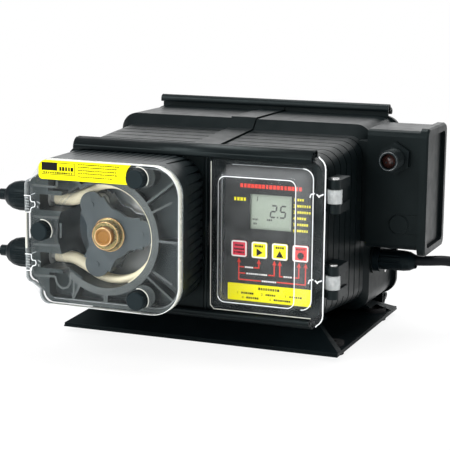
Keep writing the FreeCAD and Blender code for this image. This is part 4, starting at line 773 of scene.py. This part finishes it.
makeLabelPlate(labelSettings)
makeLabelPrint(labelSettings)

# Front top rail: one smooth lobe over the clip
railSettings = {"centre": (-89.5, 152.8), "semi": (9.0, 8.2), "skin": 0.4, "half": 97.7, "sweep": (106, 186),
                "steps": 20}


def makeRailSkin(settings):
    cy, cz = settings["centre"]
    a, b = settings["semi"]
    first, last = settings["sweep"]
    steps, half = settings["steps"], settings["half"]
    section = []
    for inset, order in ((0.0, range(steps + 1)), (settings["skin"], range(steps, -1, -1))):
        for step in order:
            angle = math.radians(first + (last - first) * step / steps)
            section.append((cy + (a - inset) * math.cos(angle), cz + (b - inset) * math.sin(angle)))
    bm = bmesh.new()
    ends = [[bm.verts.new((x * mm, y * mm, z * mm)) for y, z in section] for x in (-half, half)]
    count = len(section)
    for index in range(count):
        after = (index + 1) % count
        bm.faces.new((ends[0][index], ends[0][after], ends[1][after], ends[1][index]))
    for index in range(steps):
        for end in ends:
            bm.faces.new((end[index], end[index + 1], end[count - 2 - index], end[count - 1 - index]))
    makePiece("railSkin", [meshFrom(bm, "clipBlack")], "case", True)


makeRailSkin(railSettings)

# Clear cover over the controls: thin bright lines along its polished edges and short glints at its hinges are
# painted highlights, where the edges catch the light
doorSettings = {
    "flangeY": -95.85, "rootY": -95.6, "faceY": -117.35,
    "flange": (17.8, 35.3, 150.2), "flangeCut": (1.5, 3.0),
    "ear": (98.6, 108.0, 29.4, 157.0), "earRounds": (9.0, 4.0, 4.0, 9.0), "earStart": 102.0,
    "root": (26.6, 98.7, 41.1, 147.4), "rootRound": 8.0, "rootStart": 90.6,
    "facePull": 5.95, "faceRound": 5.4, "faceDim": (12, 15),
    "widths": (0.34, 0.24, 0.36, 0.5, 0.42, 0.22, 0.22), "glintWidth": 0.55,
    "hinge": (113.2, -89.0), "hingeHeights": (63.0, 127.5), "knuckle": (5.5, 10.0, 40),
    "hingeGlints": [(96.2, -1.2, 97.0, 1.4), (97.0, 1.4, 100.0, 2.2), (101.4, 1.8, 103.6, -0.6),
                    (103.6, 0.6, 106.8, 2.0)],
}


# The part of an outline to the right of start, from its top down
def rightPart(outline, start):
    return sorted((point for point in outline if point[0] > start), key=lambda point: -point[1])


def makeDoorEdges(settings):
    faceY, flangeY, rootY = settings["faceY"], settings["flangeY"], settings["rootY"]
    x0, x1, z0, z1 = settings["root"]
    pull, turn = settings["facePull"], settings["rootRound"]
    face = roundedOutline(x0 + pull, x1 - pull, z0 + pull, z1 - pull, [settings["faceRound"]] * 4)
    first, last = settings["faceDim"]
    ear = rightPart(roundedOutline(*settings["ear"], settings["earRounds"]), settings["earStart"])
    root = rightPart(roundedOutline(x0, x1, z0, z1, [turn] * 4), settings["rootStart"])
    flangeX, low, high = settings["flange"]
    cutHigh, cutLow = settings["flangeCut"]
    leftEdge = [(flangeX, high - cutHigh), (flangeX, low + cutLow), (flangeX + cutLow, low),
                (settings["ear"][0], low)]
    lines = [
        (face[last:] + face[:first], faceY, "brightEdge"), (face[first - 1:last + 1], faceY, "softEdge"),
        (leftEdge, flangeY, "creamEdge"), (ear, flangeY, "brightEdge"), (root, rootY, "brightEdge"),
        ([(x1 - turn, z1), (x0 + turn, z1)], rootY, "softEdge"),
        ([(x0, z1 - turn), (x0, z0 + turn)], rootY, "softEdge"),
    ]
    meshes = [lineMesh(path, y, width, finish) for (path, y, finish), width in zip(lines, settings["widths"])]
    # Painted glints by each hinge
    for height in settings["hingeHeights"]:
        for ax, az, bx, bz in settings["hingeGlints"]:
            path = [(ax, height + az), (bx, height + bz)]
            meshes.append(lineMesh(path, rootY, settings["glintWidth"], "brightEdge"))
    makePiece("doorEdges", meshes, "clear_door", True)


# Dense translucent sleeves round the hinge knuckles
def makeKnuckleSkins(settings):
    radius, length, sides = settings["knuckle"]
    hingeX, hingeY = settings["hinge"]
    bm = bmesh.new()
    for height in settings["hingeHeights"]:
        place = Matrix.Translation((hingeX * mm, hingeY * mm, height * mm))
        bmesh.ops.create_cone(bm, cap_ends=True, segments=sides, radius1=radius * mm, radius2=radius * mm,
                              depth=length * mm, matrix=place)
    makePiece("knuckleSkins", [meshFrom(bm, "clearKnuckle")], "clear_door", True)


makeDoorEdges(doorSettings)
makeKnuckleSkins(doorSettings)


# A thin wall between two outlines that match point for point
def bandMesh(outer, inner, y0, y1, finish):
    bm = bmesh.new()
    rings = []
    for outline, y in ((outer, y0), (outer, y1), (inner, y1), (inner, y0)):
        rings.append([bm.verts.new((x * mm, y * mm, z * mm)) for x, z in outline])
    for index in range(len(outer) - 1):
        for first, second in zip(rings, rings[1:] + rings[:1]):
            bm.faces.new((first[index], first[index + 1], second[index + 1], second[index]))
    bm.faces.new([ring[0] for ring in rings])
    bm.faces.new([ring[-1] for ring in reversed(rings)])
    return meshFrom(bm, finish)


# Clear head cover: a cream band and thin lines along its edge are painted highlights where the edge carries
# the light, and painted crescent glints ring the knobs' collars
coverSettings = {
    "outline": (-96.5, 18.0, 41.5, 151.5), "bigRound": 22.0, "bigSteps": 12, "smallRound": 8.0,
    "block": (-108.0, 57.0, 136.0), "blockRound": 5.0, "flare": 4.2,
    "band": (0.12, 0.02), "bandBack": -150.3,
    "bands": [("right", -156.1, "creamEdge"), ("left", -154.7, "softEdge")],
    "lines": [("right", -0.2, -156.2, 0.2, "brightEdge"), ("left", -0.3, -156.1, 0.26, "softEdge"),
              ("right", -3.2, -148.6, 0.2, "softEdge")],
    "portEdge": ([(-107.1, 83.0), (-107.1, 110.6)], -156.0, 0.95, "creamEdge"),
    "knobs": [(-13.0, 142.3), (-92.0, 98.0), (-13.0, 52.7)],
    "collar": (8.2, -35, 135, 20), "collarY": -158.6, "collarWidth": 0.4,
}


# The cover's right side, from its top left to its bottom left corner, drawn out by a small offset
def coverRight(settings, offset):
    x0, x1, z0, z1 = settings["outline"]
    big, steps, small = settings["bigRound"], settings["bigSteps"], settings["smallRound"]
    points = [(x0 + small, z1 + offset)]
    points += arcPoints(x1 - big, z1 - big, big + offset, 90, -90, steps)
    points += arcPoints(x1 - big, z0 + big, big + offset, 0, -90, steps)
    points.append((x0 + small, z0 - offset))
    return points


# The cover's left side round the ports, with its sloped roots
def coverLeft(settings, offset):
    x0, _, z0, z1 = settings["outline"]
    small, bend, flare = settings["smallRound"], settings["blockRound"], settings["flare"]
    blockX, blockLow, blockHigh = settings["block"]
    points = arcPoints(x0 + small, z1 - small, small + offset, 90, 90)
    points.append((x0 - offset, blockHigh + flare + offset))
    points += arcPoints(blockX + bend, blockHigh - bend, bend + offset, 90, 90)
    points += arcPoints(blockX + bend, blockLow + bend, bend + offset, 180, 90)
    points.append((x0 - offset, blockLow - flare - offset))
    points += arcPoints(x0 + small, z0 + small, small + offset, 180, 90)
    return points


def makeCoverEdges(settings):
    sides = {"right": coverRight, "left": coverLeft}
    meshes = []
    for side, y, finish in settings["bands"]:
        edges = [sides[side](settings, offset) for offset in settings["band"]]
        meshes.append(bandMesh(*edges, y, settings["bandBack"], finish))
    for side, offset, y, radius, finish in settings["lines"]:
        meshes.append(lineMesh(sides[side](settings, offset), y, radius, finish))
    meshes.append(lineMesh(*settings["portEdge"]))
    # Painted glint: a bright crescent on each knob's collar
    for x, z in settings["knobs"]:
        crescent = arcPoints(x, z, *settings["collar"])
        meshes.append(lineMesh(crescent, settings["collarY"], settings["collarWidth"], "creamEdge"))
    makePiece("coverEdges", meshes, "head_lid", True)


makeCoverEdges(coverSettings)

# The housing's front edges as the photograph shows them through the cover: ring and ribs, lighter strips that
# are a painted highlight where the front edges catch the light
housingSettings = {
    "front": -148.22, "ribWidth": 1.7, "ribDepth": 0.15,
    "ringRadii": (44.6, 39.4), "ringSweep": (75, -208, 64), "ringDepth": (-148.24, -148.09),
    "lines": [
        [(-6.5, 116.1), (9.3, 124.7)], [(-0.4, 95.3), (12.0, 94.9)], [(-5.5, 72.0), (9.3, 63.8)],
        [(-43.8, 51.5), (-44.4, 44.0)], [(-71.5, 62.1), (-72.3, 44.0)],
        [(-105.6, 60.4), (-87.3, 61.2), (-86.2, 56.3), (-83.8, 53.6), (-80.9, 52.4), (-77.2, 53.8),
         (-74.8, 57.4), (-74.2, 65.3)],
        [(-105.6, 105.9), (-83.8, 106.4)], [(-105.6, 84.5), (-83.1, 85.1)],
        [(-105.6, 129.8), (-85.1, 129.5), (-84.5, 135.4)], [(-82.2, 102.6), (-82.3, 91.4)],
    ],
}


def makeHousingFaces(settings):
    outlines = [strip(*start, *end, settings["ribWidth"])
                for path in settings["lines"] for start, end in zip(path, path[1:])]
    ribs = printMesh(outlines, settings["front"], settings["ribDepth"], "ribGrey")
    outer, inner = headArcs(settings["ringRadii"], settings["ringSweep"])
    ring = bandMesh(outer, inner, *settings["ringDepth"], "ribGrey")
    makePiece("housingFaces", [ribs, ring], "case")


makeHousingFaces(housingSettings)

# Pump cavity: painted light and shade lie in turn round its floor, bright and dark sectors that stand in for
# the reflections and shade seen there, and the pale tube lines its track
cavitySettings = {
    "radii": (38.4, 15.0), "floor": (-113.25, -113.05), "whole": (0, 359.9, 96),
    "rough": 0.3, "metallic": 0.35,
    "linerRadii": (38.9, 38.2), "linerDepth": (-147.2, -136.5), "linerSweep": (100, -160, 48),
    "stops": [
        (0.0, (0.1, 0.11, 0.11)), (0.045, (0.02, 0.022, 0.024)), (0.085, (0.02, 0.022, 0.024)),
        (0.1, (0.55, 0.57, 0.57)), (0.17, (0.85, 0.87, 0.87)), (0.21, (0.35, 0.38, 0.39)),
        (0.33, (0.1, 0.16, 0.2)), (0.46, (0.09, 0.16, 0.21)), (0.56, (0.14, 0.18, 0.2)),
        (0.66, (0.3, 0.34, 0.35)), (0.78, (0.3, 0.32, 0.32)), (0.9, (0.14, 0.15, 0.15)),
        (1.0, (0.1, 0.11, 0.11))],
}


# Painted reflection and shade: the colour turns with the angle round the head's centre
def cavityFloor(name, settings):
    tree, shader = newMaterial(name)
    place = pointParts(tree)
    across = mathOf(tree, "SUBTRACT", place["X"], headCentre[0] * mm)
    upward = mathOf(tree, "SUBTRACT", place["Z"], headCentre[1] * mm)
    turn = mathOf(tree, "DIVIDE", mathOf(tree, "ARCTAN2", upward, across), 2 * math.pi)
    fill(tree, shader, {"Base Color": rampOf(tree, mathOf(tree, "FRACT", turn), settings["stops"]),
                        "Roughness": settings["rough"], "Metallic": settings["metallic"]})


def makeCavity(settings):
    cavityFloor("cavityShade", settings)
    outer, inner = headArcs(settings["radii"], settings["whole"])
    disc = bandMesh(outer, inner, *settings["floor"], "cavityShade")
    makePiece("cavityFloor", [disc], "case")
    outer, inner = headArcs(settings["linerRadii"], settings["linerSweep"])
    liner = bandMesh(outer, inner, *settings["linerDepth"], "tubeCream")
    makePiece("trackLiner", [liner], "case")


makeCavity(cavitySettings)

# Saddles of the clear cover over the two ports: stepped bright outlines with broken glints, painted
# highlights where the clear cover catches the light
portSettings = {
    "y": -156.1, "left": -108.6, "centres": (116.7, 72.1), "widths": (0.42, 0.34),
    "profile": [(0.2, 6.3), (5.4, 6.3), (5.5, 3.2), (6.3, 1.9), (8.9, 1.9), (9.4, 0.0), (9.0, -1.7),
                (6.3, -2.6), (5.5, -4.1), (5.3, -6.2), (0.2, -6.4)],
    "glints": [(6.2, 7.2, 9.6, 8.6), (11.0, 2.4, 13.6, 1.0), (1.2, 4.8, 3.8, 4.4), (1.0, 2.6, 4.2, 2.2),
               (1.4, 0.4, 4.0, 0.2), (0.8, -1.6, 4.4, -1.8), (1.2, -3.6, 4.2, -3.9),
               (11.4, -0.8, 11.8, -2.6)],
    "threads": [{"start": (-105.4, -128.0, z), "step": (1.6, 0, 0), "turn": (0, math.pi / 2, 0), "count": 4,
                 "radius": 7.2, "crest": 0.5, "finish": "fittingMilky"} for z in (73.0, 117.4)],
}


def makePortLines(settings):
    y, left = settings["y"], settings["left"]
    wide, thin = settings["widths"]
    meshes = []
    for centre in settings["centres"]:
        # Painted highlights: each saddle's bright outline and its glints
        path = [(left + dx, centre + dz) for dx, dz in settings["profile"]]
        meshes.append(lineMesh(path, y, wide, "brightEdge"))
        for ax, az, bx, bz in settings["glints"]:
            meshes.append(lineMesh([(left + ax, centre + az), (left + bx, centre + bz)], y, thin, "softEdge"))
    makePiece("portLines", meshes, "head_lid", True)


def threadMesh(settings):
    start, step = [tuple(part * mm for part in settings[label]) for label in ("start", "step")]
    return grow(bpy.data.meshes.new("thread"), "threadRings", {
        "Start": start, "Step": step, "Turn": settings["turn"], "Count": settings["count"],
        "Radius": settings["radius"] * mm, "Crest": settings["crest"] * mm,
        "Material": finishes[settings["finish"]]})


makePortLines(portSettings)
makePiece("portThreads", [threadMesh(thread) for thread in portSettings["threads"]], "case",
          True)

# Gold edges of the hub's steps, each with its radius, its plane and its thickness
hubSettings = {"rings": [(12.6, -140.5, 0.32), (10.4, -146.4, 0.3), (6.6, -150.0, 0.45)], "sides": 48}


def makeHubEdges(settings):
    meshes = [lineMesh(discOutline(*headCentre, radius, settings["sides"]), y, thickness, "edgeGold", True)
              for radius, y, thickness in settings["rings"]]
    makePiece("hubEdges", meshes, "rotor", True)


makeHubEdges(hubSettings)

# Thread crests, rim and insert of the signal connector
connectorSettings = {
    "centre": (135.5, 146.8), "rim": (6.9, 48), "rimLine": (-27.95, 0.5),
    "insert": (5.6, 40), "insertDepth": (-24.6, 0.3),
    "thread": {"start": (135.5, -27.2, 146.8), "step": (0, 1.5, 0), "turn": (math.pi / 2, 0, 0), "count": 11,
               "radius": 7.95, "crest": 0.35, "finish": "clipBlack"},
}


def makeConnector(settings):
    makePiece("connectorThread", [threadMesh(settings["thread"])], "case", True)
    centre = settings["centre"]
    rim = lineMesh(discOutline(*centre, *settings["rim"]), *settings["rimLine"], "socketRim", True)
    insert = printMesh([discOutline(*centre, *settings["insert"])], *settings["insertDepth"], "socketBrown")
    makePiece("connectorFront", [rim, insert], "case", True)


makeConnector(connectorSettings)

# Small round-headed screw low on the case's right side, set where a line from the right meets the case
screwSettings = {"from": (200.0, 62.6, 42.4), "radius": 2.3, "rise": 0.35, "sides": (24, 12)}


def makeSideScrew(settings):
    leftward = Vector((-1, 0, 0))
    met, place, normal = nodes["case_right"].ray_cast(Vector(settings["from"]) * mm, leftward)[:3]
    print("side screw meets the case:", met, [round(part / mm, 2) for part in place])
    turn = normal.to_track_quat("Z", "Y").to_matrix().to_4x4()
    shape = Matrix.Translation(place) @ turn @ Matrix.Diagonal((1.0, 1.0, settings["rise"], 1.0))
    around, along = settings["sides"]
    bm = bmesh.new()
    bmesh.ops.create_uvsphere(bm, u_segments=around, v_segments=along, radius=settings["radius"] * mm,
                              matrix=shape)
    makePiece("sideScrew", [meshFrom(bm, "zincSteel")], "case", True)


makeSideScrew(screwSettings)
print("clear parts and threads dressed")

# Stage: pale floor that keeps the shadow, white surround, soft lamps that look at one point
stageSettings = {
    "floorColour": (0.9, 0.9, 0.9), "floorHalf": 8.0, "floorRough": 0.7, "floorSpecular": 0.1,
    "whiteShare": 0.88, "whiteFrom": (0.25, 0.9), "worldStrength": 0.45, "lookAt": (0, 0, 0.08),
    "lamps": [
        ("keyLamp", (-1.0, -1.2, 1.4), (0.9, 0.9), 25, True),
        ("sideLamp", (1.5, -0.5, 0.9), (0.7, 1.0), 7, True),
        ("topLamp", (0.1, 0.4, 1.7), (1.3, 0.9), 30, True),
        ("backLamp", (-0.7, 2.0, 0.8), (2.6, 1.0), 13, False),
        ("frontLamp", (-0.5, -1.9, 0.55), (1.1, 0.8), 12.5, True),
    ],
}


def seenDirectly(tree):
    path = addNode(tree, "ShaderNodeLightPath", {}).outputs
    return mathOf(tree, "MAXIMUM", path["Is Camera Ray"], path["Is Transmission Ray"])


# Seen by the camera the floor is mostly white, and wholly white far from the object
def makeFloor(settings):
    mesh = bpy.data.meshes.new("floor")
    half = settings["floorHalf"]
    mesh.from_pydata([(x, y, 0) for x, y in boxOutline(-half, half, -half, half)], [], [(0, 1, 2, 3)])
    floor = addObject("floor", mesh)
    tree, shader = newMaterial("floorPale")
    fill(tree, shader, {"Base Color": settings["floorColour"], "Roughness": settings["floorRough"],
                        "Specular IOR Level": settings["floorSpecular"]})
    length = addNode(tree, "ShaderNodeVectorMath", {0: objectPoint(tree)}, operation="LENGTH")
    far = rangeOf(tree, length.outputs["Value"], settings["whiteFrom"], (settings["whiteShare"], 1.0), True)
    mix = addNode(tree, "ShaderNodeMixShader", {"Fac": mathOf(tree, "MULTIPLY", far, seenDirectly(tree)),
                                                1: shader, 2: addNode(tree, "ShaderNodeEmission", {})})
    fill(tree, tree.nodes["Material Output"], {"Surface": mix})
    mesh.materials.append(finishes["floorPale"])


def makeWorld(settings):
    world = bpy.data.worlds.new("studio")
    bpy.context.scene.world = world
    world.use_nodes = True
    tree = world.node_tree
    tree.nodes.clear()
    lighting, seen = [addNode(tree, "ShaderNodeBackground", {"Color": (1, 1, 1), "Strength": strength})
                      for strength in (settings["worldStrength"], 1.0)]
    mix = addNode(tree, "ShaderNodeMixShader", {"Fac": seenDirectly(tree), 1: lighting, 2: seen})
    addNode(tree, "ShaderNodeOutputWorld", {"Surface": mix})


def makeLamps(settings):
    for name, place, size, power, shown in settings["lamps"]:
        data = bpy.data.lights.new(name, "AREA")
        data.shape = "RECTANGLE"
        data.size, data.size_y = size
        data.energy = power
        lamp = addObject(name, data)
        lamp.visible_camera = shown
        way = Vector(place) - Vector(settings["lookAt"])
        lamp.matrix_world = Matrix.Translation(place) @ way.to_track_quat("Z", "Y").to_matrix().to_4x4()


makeFloor(stageSettings)
makeWorld(stageSettings)
makeLamps(stageSettings)
bpy.context.scene.view_settings.view_transform = "Standard"
print("stage lit")
